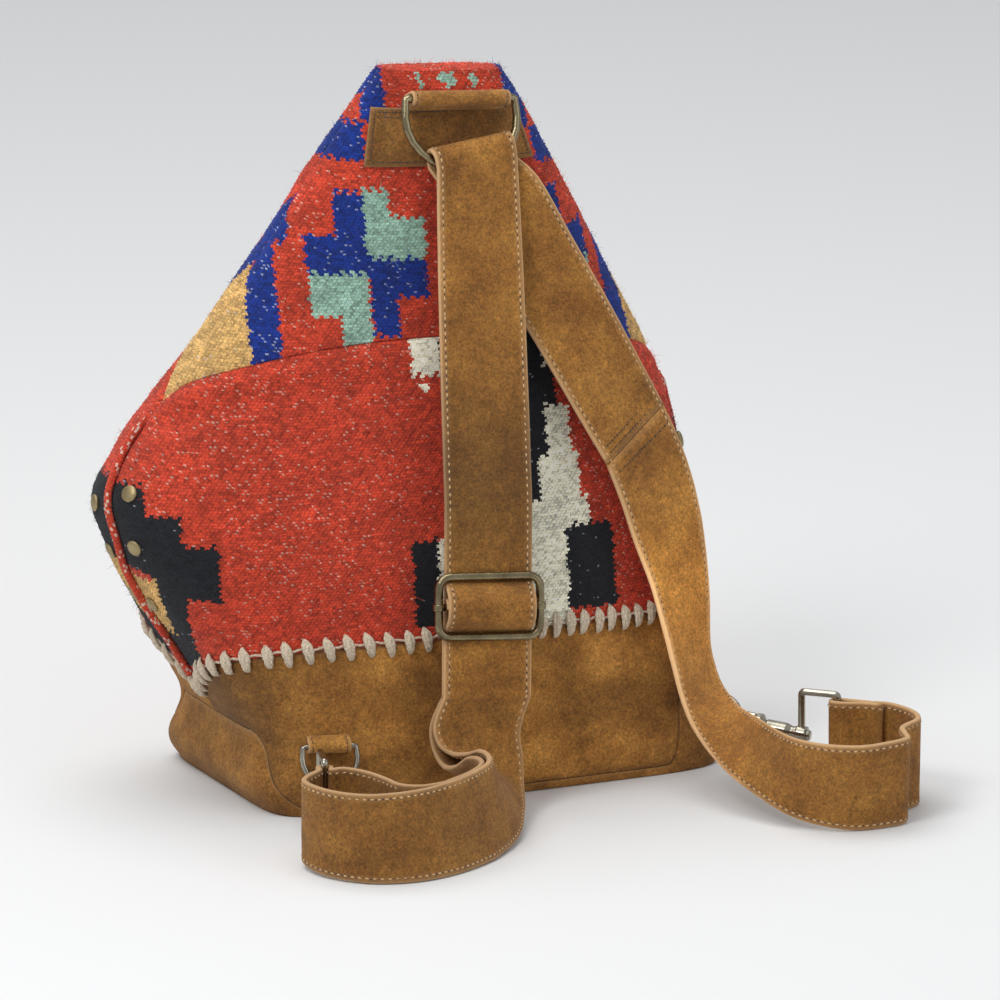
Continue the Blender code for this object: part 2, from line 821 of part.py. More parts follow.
# Right leg down to the diagonal seam, then past the bag's side and along the floor to its eye
RIGHT_UPPER_PAIRS = [
    ((-7, -43, 299), (34, -41, 321)),
    ((10, -52, 264), (51.5, -47, 287)),
    ((26, -61, 233), (67, -54, 256)),
    ((42, -70, 201), (80, -59, 229)),
]
DIAGONAL_SEAM = ((57, -77, 172), (96, -62, 197))
RIGHT_LOWER_PAIRS = [
    ((64, -81, 151), (107, -67, 168)),
    ((70, -84, 130), (114, -71, 136)),
    ((78, -88, 106), (118.5, -71, 98)),
    ((83, -92, 84), (119, -71, 68)),
    ((86, -98, 64), (121, -74, 53)),
    ((87, -107, 48), (121.5, -81, 46)),
    ((87, -122, 36), (120.5, -94, 43)),
    ((89, -140, 26), (118, -112, 42)),
    ((92, -158, 19), (115, -140, 44)),
    ((99, -178, 12), (113, -168, 45)),
    ((108, -197, 6), (113, -192, 46.5)),
    ((122, -208, 2), (120, -211, 47.5)),
    ((137, -215, 0), (137, -220, 47)),
    ((154, -216, 0), (154, -219, 47)),
    ((165, -213, 0), (166, -215, 47)),
    ((169.5, -203, 0), (169.5, -204, 47)),
    ((172, -195, 0), (172, -196, 47)),
    ((178, -190, 0), (178, -190.5, 47)),
    ((185.5, -185, 0), (186, -185, 47)),
    ((189, -176, 0.6), (190, -176, 47)),
    ((189, -165, 1.6), (190, -165, 47)),
    ((185.5, -151.5, 2.6), (185.5, -151.5, 47)),
]


def back_layer(stations, lap):
    """the same strip again behind the first; where both curl it falls further back"""
    shifted = []
    for k, (middle, half) in enumerate(stations):
        distance = lap + CURL_SLACK * max(0.0, 1 - abs(k - CURL_SLACK_MIDDLE) / CURL_SLACK_MIDDLE)
        ahead = stations[min(k + 1, len(stations) - 1)][0] - stations[max(k - 1, 0)][0]
        shifted.append((middle + half.cross(ahead).normalized() * distance, half.copy()))
    return shifted


def smooth_stations(stations, per_span):
    middles = smooth_line([s[0] for s in stations], per_span)
    halves = smooth_line([s[1] for s in stations], per_span)
    return list(zip(middles, halves))


def local_stations(path):
    """stations in the slider's frame, as (distance down the leg, distance towards the viewer)"""
    middle, down, across, near = strap_frame()
    return [(middle + down * d + near * n, across * STRAP_WIDTH / 2) for d, n in path]


def slider_paths():
    """the strap's long run through the slider, and its end wrapped round the centre bar"""
    lap = STRAP_THICKNESS + JOINT_GAP
    behind = -(SLIDER_WIRE + JOINT_GAP + STRAP_THICKNESS / 2)
    turn = SLIDER_BAR_RADIUS + JOINT_GAP + STRAP_THICKNESS / 2
    crest = turn + lap + 0.0006
    edge = SLIDER_HALF_HEIGHT
    inside = edge - SLIDER_WIRE - 0.0012
    through = [
        (edge * 3.0, behind),
        (edge * 2.0, behind),
        (edge * 1.35, behind),
        (edge, behind),
        (inside, behind * 0.92),
        (inside * 0.74, crest * 0.20),
        (inside * 0.45, crest * 0.80),
        (0.0, crest),
        (-inside * 0.45, crest * 0.80),
        (-inside * 0.74, crest * 0.20),
        (-inside, behind * 0.92),
        (-edge, behind),
        (-edge * 1.35, behind),
        (-edge * 2.2, behind),
        (-edge * 3.4, behind),
    ]
    wrap = []
    for degrees in (75, 100, 130, 155, 180, 205, 230, 255):
        angle = math.radians(degrees)
        wrap.append((turn * math.cos(angle), turn * math.sin(angle)))
    far = behind - lap
    wrap += [(0.004, -turn * 1.06), (0.009, far * 0.82), (0.014, far * 0.97), (0.020, far)]
    wrap += [(edge * 2.0, far), (edge * 3.0, far)]
    return local_stations(wrap), local_stations(through)


def fold_stations(ring, first, second, hang, radius):
    """the strap folded over a ring, from its near leg to its far one"""
    left, right = ring_point(ring, first), ring_point(ring, second)
    axis = (right - left).normalized()
    hang = Vector(hang)
    rise = -(hang - axis * hang.dot(axis)).normalized()
    near = axis.cross(rise).normalized()
    if near.y > 0:
        near = -near
    middle, half = (left + right) / 2, axis * STRAP_WIDTH / 2
    stations = []
    for degrees in (-25, 0, 30, 60, 90, 120, 150, 180, 205):
        angle = math.radians(degrees)
        lift = math.sin(angle) * radius if degrees > 0 and degrees < 180 else math.sin(angle) * radius * 2
        swing = math.cos(angle) if 0 <= degrees <= 180 else (1.0 if degrees < 0 else -1.0)
        stations.append((middle + near * radius * swing + rise * lift, half))
    return stations


def build_straps(looks, top_ring, left_eye, right_eye):
    wrap, through = slider_paths()
    lap = STRAP_THICKNESS + JOINT_GAP
    curl = edge_pairs(CURL_PAIRS)
    band = edge_pairs(BAND_PAIRS)
    back = edge_pairs(LOOP_BACK_PAIRS)
    hidden = back_layer(through[:1] + curl + band[:2], lap + 0.0004)[1:]

    bar = left_eye["far"]
    reach = left_eye["heading"]
    side = Vector((reach.y, -reach.x, 0)).normalized()
    turn = EYE_WIRE + JOINT_GAP + STRAP_THICKNESS / 2
    width = STRAP_WIDTH * STRAP_END_SHARE
    level = EYE_BOTTOM + EYE_WIRE + JOINT_GAP + width / 2
    upright = Vector((0, 0, -width / 2))
    round_bar = []
    for degrees in (90, 60, 30, 0, -30, -60, -90):
        angle = math.radians(degrees)
        place = bar + reach * turn * math.cos(angle) + side * turn * math.sin(angle)
        round_bar.append((Vector((place.x, place.y, level)), upright))
    lead = [(round_bar[k][0] - reach * 0.004, upright) for k in (0, -1)]
    down = smooth_stations([wrap[-1]] + hidden, 4)
    down = down[:-1] + smooth_stations([hidden[-1]] + list(reversed(back)) + [lead[0], round_bar[0]], 2)
    along = smooth_stations([round_bar[-1], lead[1]] + list(reversed(band)), 2)
    along = along[:-1] + smooth_stations([band[0]] + list(reversed(curl)) + [through[0]], 4)

    hang = (0, -0.2, -1)
    seat = STRAP_WIDTH * FOLD_SHARE / 2
    fold = fold_stations(top_ring, FOLD_OFFSET - seat, FOLD_OFFSET + seat, hang, FOLD_RADIUS)
    middle, leg_down, across, near = strap_frame()
    start = fold[0]
    leg = []
    for share in (0.72, 0.45, 0.2):
        place = through[-1][0].lerp(start[0], 1 - share)
        half = through[-1][1].lerp(start[1], (1 - share) ** 2)
        leg.append((place, half.normalized() * STRAP_WIDTH / 2))
    upper = edge_pairs(RIGHT_UPPER_PAIRS + [DIAGONAL_SEAM])
    rise = smooth_stations([through[-1]] + leg + [fold[0]], 2)
    fall = smooth_stations([fold[-1]] + upper, 3)
    stations = wrap[:-1] + down[:-1] + round_bar[:-1] + along[:-1] + through[:-1] + rise[:-1] + fold[:-1] + fall
    ribbon("strap_long", stations, STRAP_THICKNESS, looks["strap"], floor=0.0)

    seam = edge_pairs([DIAGONAL_SEAM])[0]
    lower = edge_pairs(RIGHT_LOWER_PAIRS)
    ahead = (lower[0][0] - seam[0]).normalized()
    start = (seam[0] + ahead * (JOINT_GAP + 0.0002), seam[1])
    bar = right_eye["far"]
    heading = Vector((right_eye["heading"].x, right_eye["heading"].y, 0)).normalized()
    side = Vector((-heading.y, heading.x, 0))
    if side.y < 0:
        side = -side
    low = EYE_BOTTOM + EYE_WIRE + JOINT_GAP
    width = STRAP_WIDTH * STRAP_END_SHARE
    level = low + width / 2
    upright = Vector((0, 0, width / 2))
    end = []
    for away, off in ((0.018, turn * 1.1), (0.009, turn)):
        place = bar - heading * away + side * off
        end.append((Vector((place.x, place.y, level)), upright))
    for degrees in (90, 65, 40, 15, -15, -40, -65, -90):
        angle = math.radians(degrees)
        place = bar + heading * turn * math.cos(angle) + side * turn * math.sin(angle)
        end.append((Vector((place.x, place.y, level)), upright))
    for away, off in ((0.006, -turn * 0.80), (0.012, -turn * 0.1), (0.017, turn * 1.1 - lap)):
        place = bar - heading * away + side * off
        end.append((Vector((place.x, place.y, level)), upright))
    arriving = lower[-1][0] - end[0][0]
    beside = Vector((arriving.y, -arriving.x, 0)).normalized()
    if beside.dot(side) > 0:
        beside = -beside
    place = end[0][0] + arriving * FLAP_REACH + beside * lap
    end.append((Vector((place.x, place.y, level)), upright))
    run = smooth_stations([start] + lower + [end[0]], 2)
    ribbon("strap_short", run[:-1] + end, STRAP_THICKNESS, looks["strap"], floor=0.0)


# Slider


def build_slider(looks):
    middle, down, across, near = strap_frame()
    half_width = STRAP_WIDTH / 2 + SLIDER_SIDE_ROOM + SLIDER_WIRE
    corners = []
    for quarter in range(4):
        for step in range(5):
            angle = math.radians(90 * quarter + 22.5 * step)
            x = math.copysign(half_width - SLIDER_CORNER, math.cos(math.radians(90 * quarter + 45)))
            y = math.copysign(SLIDER_HALF_HEIGHT - SLIDER_CORNER, math.sin(math.radians(90 * quarter + 45)))
            x += SLIDER_CORNER * math.cos(angle)
            y += SLIDER_CORNER * math.sin(angle)
            corners.append(middle + across * x + down * y)
    frame = add_object("slider_frame", tube_mesh("slider_frame", corners, SLIDER_WIRE, True), looks["brass"])
    set_origin(frame, middle)

    hole = SLIDER_WIRE + JOINT_GAP
    reach = half_width - (SLEEVE_RADIUS + hole) / 2
    profile = ((-reach, 0), (-reach, SLIDER_BAR_RADIUS), (reach, SLIDER_BAR_RADIUS), (reach, 0))
    bar = add_object("slider_bar", turned_mesh("slider_bar", profile, middle, across, 8), looks["brass"])
    for sign in (-1, 1):
        base = middle + across * sign * half_width
        long = SLEEVE_LENGTH / 2
        wall = ((-long, hole), (-long, SLEEVE_RADIUS), (long, SLEEVE_RADIUS), (long, hole), (-long, hole))
        combine(bar, turned_mesh("sleeve", wall, base, down, 14), "UNION")


# Hooks and eyes


def hook_frame(ring, catch, towards):
    """where the hook holds the ring, its axis towards the strap, and the way across its gape"""
    caught = ring_point(ring, catch)
    axis = (Vector(towards) - caught).normalized()
    wire = ring_direction(ring, catch)
    gape = axis.cross(wire).normalized()
    if gape.z < 0:
        gape = -gape
    return caught, axis, gape


def build_hook(word, ring, catch, towards, looks):
    caught, axis, gape = hook_frame(ring, catch, towards)
    square = axis.cross(ring_direction(ring, catch)).length
    nose = -(ring["wire"] + JOINT_GAP + HOOK_WIRE) / square - HOOK_NOSE_ROOM
    half = HOOK_HALF_GAPE

    def at(along, sideways):
        return caught + axis * along + gape * sideways

    bow = [at(HOOK_SHOULDER + 0.0012, -half), at(0.010, -half * 1.05), at(0.004, -half * 1.0)]
    bow += [at(nose * 0.3, -half * 0.78), at(nose * 0.85, -half * 0.42), at(nose, 0)]
    bow += [at(nose * 0.85, half * 0.42), at(nose * 0.3, half * 0.80), at(0.0025, half * 0.98)]
    mesh = tube_mesh(word + "_bow", smooth_line(bow, 2), HOOK_WIRE)
    start, reach = HOOK_SHOULDER, HOOK_REACH
    hub = HUB_LENGTH / 2
    barrel = HOOK_BARREL_RADIUS
    profile = (
        (start, 0),
        (start, half + HOOK_WIRE * 0.8),
        (start + 0.0026, half + HOOK_WIRE * 0.8),
        (start + 0.0045, barrel * 0.8),
        (start + 0.0060, barrel),
        (reach - hub - 0.0060, barrel),
        (reach - hub - 0.0030, barrel * 0.75),
        (reach - hub - JOINT_GAP, barrel * 0.85),
        (reach - hub - JOINT_GAP, POST_RADIUS),
        (reach + hub + JOINT_GAP, POST_RADIUS),
        (reach + hub + JOINT_GAP, POST_RADIUS * 1.9),
        (reach + hub + 0.0022, POST_RADIUS * 1.7),
        (reach + hub + 0.0026, 0),
    )
    hook = add_object(word + "_hook", turned_mesh(word + "_hook", profile, caught, axis, 12), looks["nickel"])
    combine(hook, mesh, "UNION")
    root = at(start - GATE_RADIUS - JOINT_GAP, half * 0.98)
    tip_from = 0.0025 + GATE_RADIUS + JOINT_GAP
    tip = at(tip_from + 0.0004, half * 0.98)
    gate = add_object(word + "_gate", capsule(word + "_gate", root, tip, GATE_RADIUS), looks["nickel"])
    set_origin(gate, root)
    return caught, axis, gape


def capsule(name, first, second, radius):
    axis = (second - first).normalized()
    length = (second - first).length
    profile = [(-radius, 0)]
    for degrees in (-60, -30, 0):
        angle = math.radians(degrees)
        profile.append((radius * math.sin(angle), radius * math.cos(angle)))
    for degrees in (0, 30, 60):
        angle = math.radians(degrees)
        profile.append((length + radius * math.sin(angle), radius * math.cos(angle)))
    profile.append((length + radius, 0))
    return turned_mesh(name, profile, first, axis, 8)


def eye_place(ring, catch, towards):
    caught, axis, _ = hook_frame(ring, catch, towards)
    near = caught + axis * HOOK_REACH
    heading = Vector((axis.x, axis.y, 0)).normalized()
    return {"near": near, "heading": -heading, "far": near + heading * EYE_DEPTH, "axis": axis}


def build_eye(word, eye, looks):
    """a rectangle of wire standing on edge, with a hub for the hook's post in its near side"""
    outward = -eye["heading"]
    near = Vector((eye["near"].x, eye["near"].y, 0))
    low, high = EYE_BOTTOM, EYE_BOTTOM + STRAP_WIDTH + EYE_ROOM
    points = []
    for quarter in range(4):
        for step in range(4):
            angle = math.radians(90 * quarter + 30 * step)
            right = math.cos(math.radians(90 * quarter + 45)) > 0
            above = math.sin(math.radians(90 * quarter + 45)) > 0
            x = (EYE_DEPTH - EYE_CORNER if right else EYE_CORNER) + EYE_CORNER * math.cos(angle)
            z = (high - EYE_CORNER if above else low + EYE_CORNER) + EYE_CORNER * math.sin(angle)
            points.append(near + outward * x + UP * z)
    mesh = tube_mesh(word + "_eye", points, EYE_WIRE, closed=True)
    piece = add_object(word + "_eye", mesh, looks["nickel"])
    axis = eye["axis"]
    long = HUB_LENGTH / 2
    outside = ((-long, 0), (-long, HUB_RADIUS), (long, HUB_RADIUS), (long, 0))
    combine(piece, turned_mesh("hub", outside, eye["near"], axis, 12), "UNION")
    hole = POST_RADIUS + JOINT_GAP
    inside = ((-long * 2, 0), (-long * 2, hole), (long * 2, hole), (long * 2, 0))
    combine(piece, turned_mesh("bore", inside, eye["near"], axis, 16), "DIFFERENCE")


# Zip


def zip_frame():
    """the zip's arc through three points of the seam: its middle, centre, axis and the panel's slope"""
    points = []
    for x in (-ZIP_HALF_LENGTH, 0.0, ZIP_HALF_LENGTH):
        across = across_at(1, ZIP_MIDDLE_X + x, YOKE_HEIGHT_MIDDLE)
        points.append(body_point(1, across, yoke_height(1, across)))
    first, middle, last = points
    along, inward = last - first, (first + last) / 2 - middle
    axis = inward.cross(along).normalized()
    sag, half = inward.length, along.length / 2
    centre = middle + inward.normalized() * (sag * sag + half * half) / (2 * sag)
    across = across_at(1, ZIP_MIDDLE_X, YOKE_HEIGHT_MIDDLE)
    above, below = (body_point(1, across, YOKE_HEIGHT_MIDDLE + rise) for rise in (0.012, -0.024))
    return middle, centre, axis, math.atan2(below.y - above.y, above.z - below.z)


def zip_point(turn, outward, upward):
    """a place near the zip: turned along its arc, this far out of the wool's face and up it"""
    middle, centre, axis, slope = zip_frame()
    spoke = middle - centre
    aim = spoke.normalized()
    aim = aim * math.cos(turn) + axis.cross(aim) * math.sin(turn)
    out = outward * math.cos(slope) - upward * math.sin(slope)
    up = outward * math.sin(slope) + upward * math.cos(slope)
    return centre + aim * (spoke.length + out) + axis * up


def zip_radius():
    middle, centre, _, _ = zip_frame()
    return (middle - centre).length


def build_zip(looks):
    tape = ZIP_TAPE_THICKNESS / 2
    bead = ZIP_BEAD_THICKNESS / 2
    level = -WOOL_THICKNESS - ZIP_CLEARANCE - tape
    wide, narrow = ZIP_TAPE_HALF_WIDTH, ZIP_BEAD_HALF_WIDTH
    section = [(-wide, tape), (-narrow, tape), (-narrow, bead), (narrow, bead), (narrow, tape), (wide, tape)]
    section += [(up, -out) for up, out in reversed(section)]
    end = (ZIP_HALF_LENGTH + 0.004) / zip_radius()
    steps = 12
    corners, faces = [], []
    for k in range(steps + 1):
        turn = -end + 2 * end * k / steps
        corners += [zip_point(turn, level + out, up) for up, out in section]
    size = len(section)
    for k in range(steps):
        for c in range(size):
            d = (c + 1) % size
            faces.append((size * k + c, size * k + d, size * (k + 1) + d, size * (k + 1) + c))
    faces += [tuple(range(size)), tuple(range(size * steps, size * (steps + 1)))]
    add_object("zip_chain", closed_mesh("zip_chain", corners, faces), looks["tape"])

    half = ZIP_SLIDER_HALF_WIDTH
    long = ZIP_SLIDER_LENGTH / zip_radius()
    first = (ZIP_HALF_LENGTH - ZIP_SLIDER_LENGTH) / zip_radius()
    inner_top = level + bead + JOINT_GAP
    outer_top = inner_top + ZIP_PLATE
    lip = level + tape + JOINT_GAP
    section = [(-half, lip), (-half, outer_top), (half, outer_top), (half, lip)]
    section += [(half - 0.0009, lip), (half - 0.0009, inner_top), (-half + 0.0009, inner_top), (-half + 0.0009, lip)]
    corners, faces = [], []
    for k in range(4):
        turn = first - long / 2 + long * k / 3
        corners += [zip_point(turn, out, up) for up, out in section]
    size = len(section)
    for k in range(3):
        for c in range(size):
            d = (c + 1) % size
            faces.append((size * k + c, size * k + d, size * (k + 1) + d, size * (k + 1) + c))
    faces += [tuple(range(size)), tuple(range(size * 3, size * 4))]
    slider = add_object("zip_slider", closed_mesh("zip_slider", corners, faces), looks["brass"])
    crest = ZIP_PULL_LEVEL + ZIP_PULL_THICKNESS / 2 + ZIP_BRIDGE_WIRE + JOINT_GAP + 0.0003
    root = outer_top - ZIP_PLATE / 2
    straight = ZIP_PULL_LEVEL + ZIP_PULL_THICKNESS / 2
    bridge = []
    for share, out in (
        (-ZIP_LEG_SHARE, root),
        (-ZIP_LEG_SHARE, straight),
        (-ZIP_LEG_SHARE * 0.7, crest),
        (ZIP_LEG_SHARE * 0.7, crest),
        (ZIP_LEG_SHARE, straight),
        (ZIP_LEG_SHARE, root),
    ):
        bridge.append(zip_point(first + long * share, out, 0))
    combine(slider, tube_mesh("bridge", bridge, ZIP_BRIDGE_WIRE, resolution=1), "UNION")
    return first - long * ZIP_LEG_SHARE


def build_pull(looks, leg):
    """the zip pull: a flat tongue that hangs from one leg of the slider's bridge"""
    half, thick = ZIP_PULL_HALF_WIDTH, ZIP_PULL_THICKNESS / 2
    hole = ZIP_BRIDGE_WIRE + JOINT_GAP
    outline = []
    for degrees in range(0, 181, 30):
        angle = math.radians(degrees)
        outline.append((half * math.cos(angle), half * math.sin(angle) * 0.8))
    for degrees in range(180, 361, 30):
        angle = math.radians(degrees)
        outline.append((half * 1.15 * math.cos(angle), -ZIP_PULL_LENGTH + half * math.sin(angle)))
    corners = []
    for side in (-thick, thick):
        corners += [zip_point(leg, ZIP_PULL_LEVEL + side, y) for x, y in outline]
        spread = zip_point(leg + 0.01, ZIP_PULL_LEVEL, 0) - zip_point(leg - 0.01, ZIP_PULL_LEVEL, 0)
        for corner, (x, y) in zip(corners[-len(outline) :], outline):
            corner += spread.normalized() * x
    size = len(outline)
    faces = [tuple(range(size)), tuple(range(size, 2 * size))]
    faces += [(c, (c + 1) % size, size + (c + 1) % size, size + c) for c in range(size)]
    pull = add_object("zip_pull", closed_mesh("zip_pull", corners, faces), looks["brass"])
    ends = [zip_point(leg, ZIP_PULL_LEVEL + out, 0) for out in (-0.003, 0.003)]
    axis = ends[1] - ends[0]
    profile = ((0, 0), (0, hole), (axis.length, hole), (axis.length, 0))
    combine(pull, turned_mesh("eyelet", profile, ends[0], axis, 12), "DIFFERENCE")


def main():
    clear_scene()
    looks = {
        "wool": finish("wool", (0.55, 0.06, 0.03), 0.95),
        "suede": finish("suede", (0.42, 0.20, 0.055), 0.9),
        "strap": finish("strap_suede", (0.50, 0.26, 0.08), 0.9),
        "jute": finish("jute", (0.60, 0.50, 0.36), 0.95),
        "brass": finish("antique_brass", (0.30, 0.24, 0.15), 0.35, 1.0),
        "nickel": finish("nickel", (0.55, 0.54, 0.50), 0.25, 1.0),
        "tape": finish("zip_tape", (0.03, 0.03, 0.03), 0.9),
    }
    build_skins(looks)
    build_bottom(looks)
    build_stitching(looks)
    build_side_seams(looks)

    build_patch(looks)
    top_ring = {
        "frame": ring_frame(TOP_RING_MIDDLE, (1, 0, TOP_RING_TILT), (0, -TOP_RING_LEAN, -1)),
        "half": TOP_RING_HALF_WIDTH,
        "arm": TOP_RING_ARM,
        "arc": TOP_RING_ARC,
        "wire": TOP_RING_WIRE,
        "corner": TOP_RING_CORNER,
    }
    build_ring("top_ring", top_ring, looks["brass"])
    middle = top_ring["frame"][0]
    seats = []
    for rise in TOP_TAB_SEATS:
        faces = []
        for edge in (-0.5, 0.5):
            height = middle.z + rise + edge * TAB_THICKNESS
            across = across_at(-1, middle.x, height)
            faces.append(skin_point(-1, across, height, PATCH_THICKNESS + 2 * JOINT_GAP).y)
        seats.append((min(faces) - middle.y - JOINT_GAP, rise))
    build_tab("top_tab", top_ring, TOP_TAB_WIDTH, seats, (0, -1, 0), looks["suede"])

    eyes = {}
    for word, place, catch, towards, pendant_out in (
        ("left", LEFT_TAB_X, LEFT_CATCH, LEFT_HOOK_TOWARDS, 0.36),
        ("right", RIGHT_TAB_X, RIGHT_CATCH, RIGHT_HOOK_TOWARDS, 2.4),
    ):
        place = across_at(-1, place, BASE_TAB_HEIGHT)
        normal = body_normal(-1, place, BASE_TAB_HEIGHT)
        outward = Vector((normal.x, normal.y, 0)).normalized()
        bar = UP.cross(outward)
        if bar.x < 0:
            bar = -bar
        middle = body_point(-1, place, BASE_TAB_HEIGHT) + outward * BASE_TAB_REACH
        ring = {
            "frame": ring_frame(middle, bar, outward * pendant_out - UP),
            "half": BASE_RING_HALF_WIDTH,
            "arm": BASE_RING_ARM,
            "arc": BASE_RING_ARC,
            "wire": BASE_RING_WIRE,
            "corner": BASE_RING_CORNER,
        }
        build_ring(word + "_base_ring", ring, looks["nickel"])
        reach = BASE_TAB_REACH - TAB_THICKNESS / 2 - JOINT_GAP * 3
        seats = ((reach, BASE_TAB_SPREAD), (reach, -BASE_TAB_SPREAD))
        build_tab(word + "_base_tab", ring, BASE_TAB_WIDTH, seats, outward, looks["suede"])
        build_hook(word, ring, catch, towards, looks)
        eyes[word] = eye_place(ring, catch, towards)
        build_eye(word, eyes[word], looks)

    build_straps(looks, top_ring, eyes["left"], eyes["right"])
    build_slider(looks)
    build_pull(looks, build_zip(looks))


main()
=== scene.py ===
import math

import bmesh
import bpy
import numpy as np
from mathutils import Matrix, Vector, noise


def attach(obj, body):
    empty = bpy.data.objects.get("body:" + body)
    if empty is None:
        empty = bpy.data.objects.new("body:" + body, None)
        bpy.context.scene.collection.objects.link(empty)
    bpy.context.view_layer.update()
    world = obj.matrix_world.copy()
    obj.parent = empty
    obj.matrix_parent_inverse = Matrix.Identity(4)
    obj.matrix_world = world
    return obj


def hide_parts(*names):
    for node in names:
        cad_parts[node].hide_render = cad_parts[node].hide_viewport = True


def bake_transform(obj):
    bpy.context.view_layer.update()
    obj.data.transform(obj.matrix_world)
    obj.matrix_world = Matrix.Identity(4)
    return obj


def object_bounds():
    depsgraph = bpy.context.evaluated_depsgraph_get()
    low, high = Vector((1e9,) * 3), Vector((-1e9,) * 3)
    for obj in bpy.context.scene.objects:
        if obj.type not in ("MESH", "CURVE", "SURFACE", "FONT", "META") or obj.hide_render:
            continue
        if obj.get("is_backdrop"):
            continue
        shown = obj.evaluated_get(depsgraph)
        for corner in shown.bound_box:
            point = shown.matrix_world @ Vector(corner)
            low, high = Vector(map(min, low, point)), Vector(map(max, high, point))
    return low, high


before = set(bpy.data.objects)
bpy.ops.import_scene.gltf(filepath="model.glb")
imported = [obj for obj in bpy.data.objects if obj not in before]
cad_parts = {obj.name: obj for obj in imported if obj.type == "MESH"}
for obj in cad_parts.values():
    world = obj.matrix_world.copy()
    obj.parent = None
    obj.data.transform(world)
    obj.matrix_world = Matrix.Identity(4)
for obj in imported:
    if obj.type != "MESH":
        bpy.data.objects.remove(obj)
cadLow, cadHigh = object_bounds()
print("frame loaded, box", [round(v, 4) for v in (*cadLow, *cadHigh)])

# camera: a long lens from the strap side, a little above
view = {"right": (0.911, -0.413, 0.0), "up": (0.109, 0.2405, 0.9646), "lens": 800, "sensor": 36,
        "across": 0.5263, "sideways": 0.0282, "upward": 0.1350, "clipEnd": 100}
camData = bpy.data.cameras.new("photoCamera")
camData.lens = view["lens"]
camData.sensor_width = view["sensor"]
camData.clip_end = view["clipEnd"]
cam = bpy.data.objects.new("photoCamera", camData)
bpy.context.scene.collection.objects.link(cam)
bpy.context.scene.camera = cam
camRight = Vector(view["right"]).normalized()
camUp = Vector(view["up"]).normalized()
camBack = camRight.cross(camUp).normalized()
distance = view["across"] * view["lens"] / view["sensor"]
cam.matrix_world = Matrix.Translation(camRight * view["sideways"] + camUp * view["upward"] + camBack * distance) \
    @ Matrix((camRight, camUp, camBack)).transposed().to_4x4()


def fromScreen(r, g, b):
    # a colour read off a screen, as the linear values that shaders use
    return tuple(((v / 255) / 12.92 if v <= 10 else ((v / 255 + 0.055) / 1.055) ** 2.4) for v in (r, g, b))


# materials

def newMaterial(name, roughness=0.8, metallic=0.0, sheen=0.0):
    material = bpy.data.materials.new(name)
    material.use_nodes = True
    shader = material.node_tree.nodes["Principled BSDF"]
    shader.inputs["Roughness"].default_value = roughness
    shader.inputs["Metallic"].default_value = metallic
    shader.inputs["Sheen Weight"].default_value = sheen
    return material, material.node_tree, shader


def noiseNode(tree, scale, detail=3.0, rough=0.5):
    place = tree.nodes.new("ShaderNodeTexCoord")
    made = tree.nodes.new("ShaderNodeTexNoise")
    made.inputs["Scale"].default_value = scale
    made.inputs["Detail"].default_value = detail
    made.inputs["Roughness"].default_value = rough
    tree.links.new(place.outputs["Object"], made.inputs["Vector"])
    return made.outputs["Fac"]


def rampNode(tree, value, stops):
    made = tree.nodes.new("ShaderNodeValToRGB")
    ramp = made.color_ramp
    while len(ramp.elements) < len(stops):
        ramp.elements.new(0.5)
    for element, (place, colour) in zip(ramp.elements, stops):
        element.position = place
        element.color = (*colour, 1.0)
    tree.links.new(value, made.inputs["Fac"])
    return made.outputs["Color"]


def mixNode(tree, kind, first, second, share=1.0):
    made = tree.nodes.new("ShaderNodeMix")
    made.data_type = "RGBA"
    made.blend_type = kind
    for socket, value in ((made.inputs["Factor"], share), (made.inputs[6], first), (made.inputs[7], second)):
        if isinstance(value, (float, tuple)):
            socket.default_value = value if isinstance(value, float) else (*value, 1.0)
        else:
            tree.links.new(value, socket)
    return made.outputs[2]


def greyRamp(tree, scale, detail, rough, stops):
    return rampNode(tree, noiseNode(tree, scale, detail, rough), [(place, (v, v, v)) for place, v in stops])


def colourNode(tree, layer):
    made = tree.nodes.new("ShaderNodeAttribute")
    made.attribute_name = layer
    return made


def bumpNode(tree, shader, height, depth, strength):
    made = tree.nodes.new("ShaderNodeBump")
    made.inputs["Strength"].default_value = strength
    made.inputs["Distance"].default_value = depth
    tree.links.new(height, made.inputs["Height"])
    tree.links.new(made.outputs["Normal"], shader.inputs["Normal"])


# noise scales, in waves a metre; bumps also have their depth in metres
grainSet = {"fibre": 1500, "dyeLot": 55, "woolBump": (1300, 0.0009), "nap": 38, "grain": 760, "scuff": 260,
            "suedeBump": (700, 0.0006), "metalTone": 120, "metalWear": 700, "metalBump": (900, 0.00003),
            "thread": 1100, "threadBump": (2600, 0.0003)}


def woolFinish(name):
    # the weave's colours, with painted light on the raised floats and painted shade on the others, ride on the mesh;
    # the fibres' variation comes from noise
    material, tree, shader = newMaterial(name, roughness=0.95, sheen=0.06)
    shader.inputs["Sheen Roughness"].default_value = 0.5
    dyedAndShaded = colourNode(tree, "dyeAndShade").outputs["Color"]
    fibres = greyRamp(tree, grainSet["fibre"], 3.0, 0.7, [(0.30, 0.48), (0.52, 1.0), (0.74, 1.65)])
    lots = greyRamp(tree, grainSet["dyeLot"], 3.0, 0.5, [(0.3, 0.80), (0.7, 1.16)])
    shade = mixNode(tree, "MULTIPLY", mixNode(tree, "MULTIPLY", dyedAndShaded, fibres), lots)
    tree.links.new(shade, shader.inputs["Base Color"])
    scale, depth = grainSet["woolBump"]
    bumpNode(tree, shader, noiseNode(tree, scale, 4.0, 0.7), depth, 0.9)
    return material


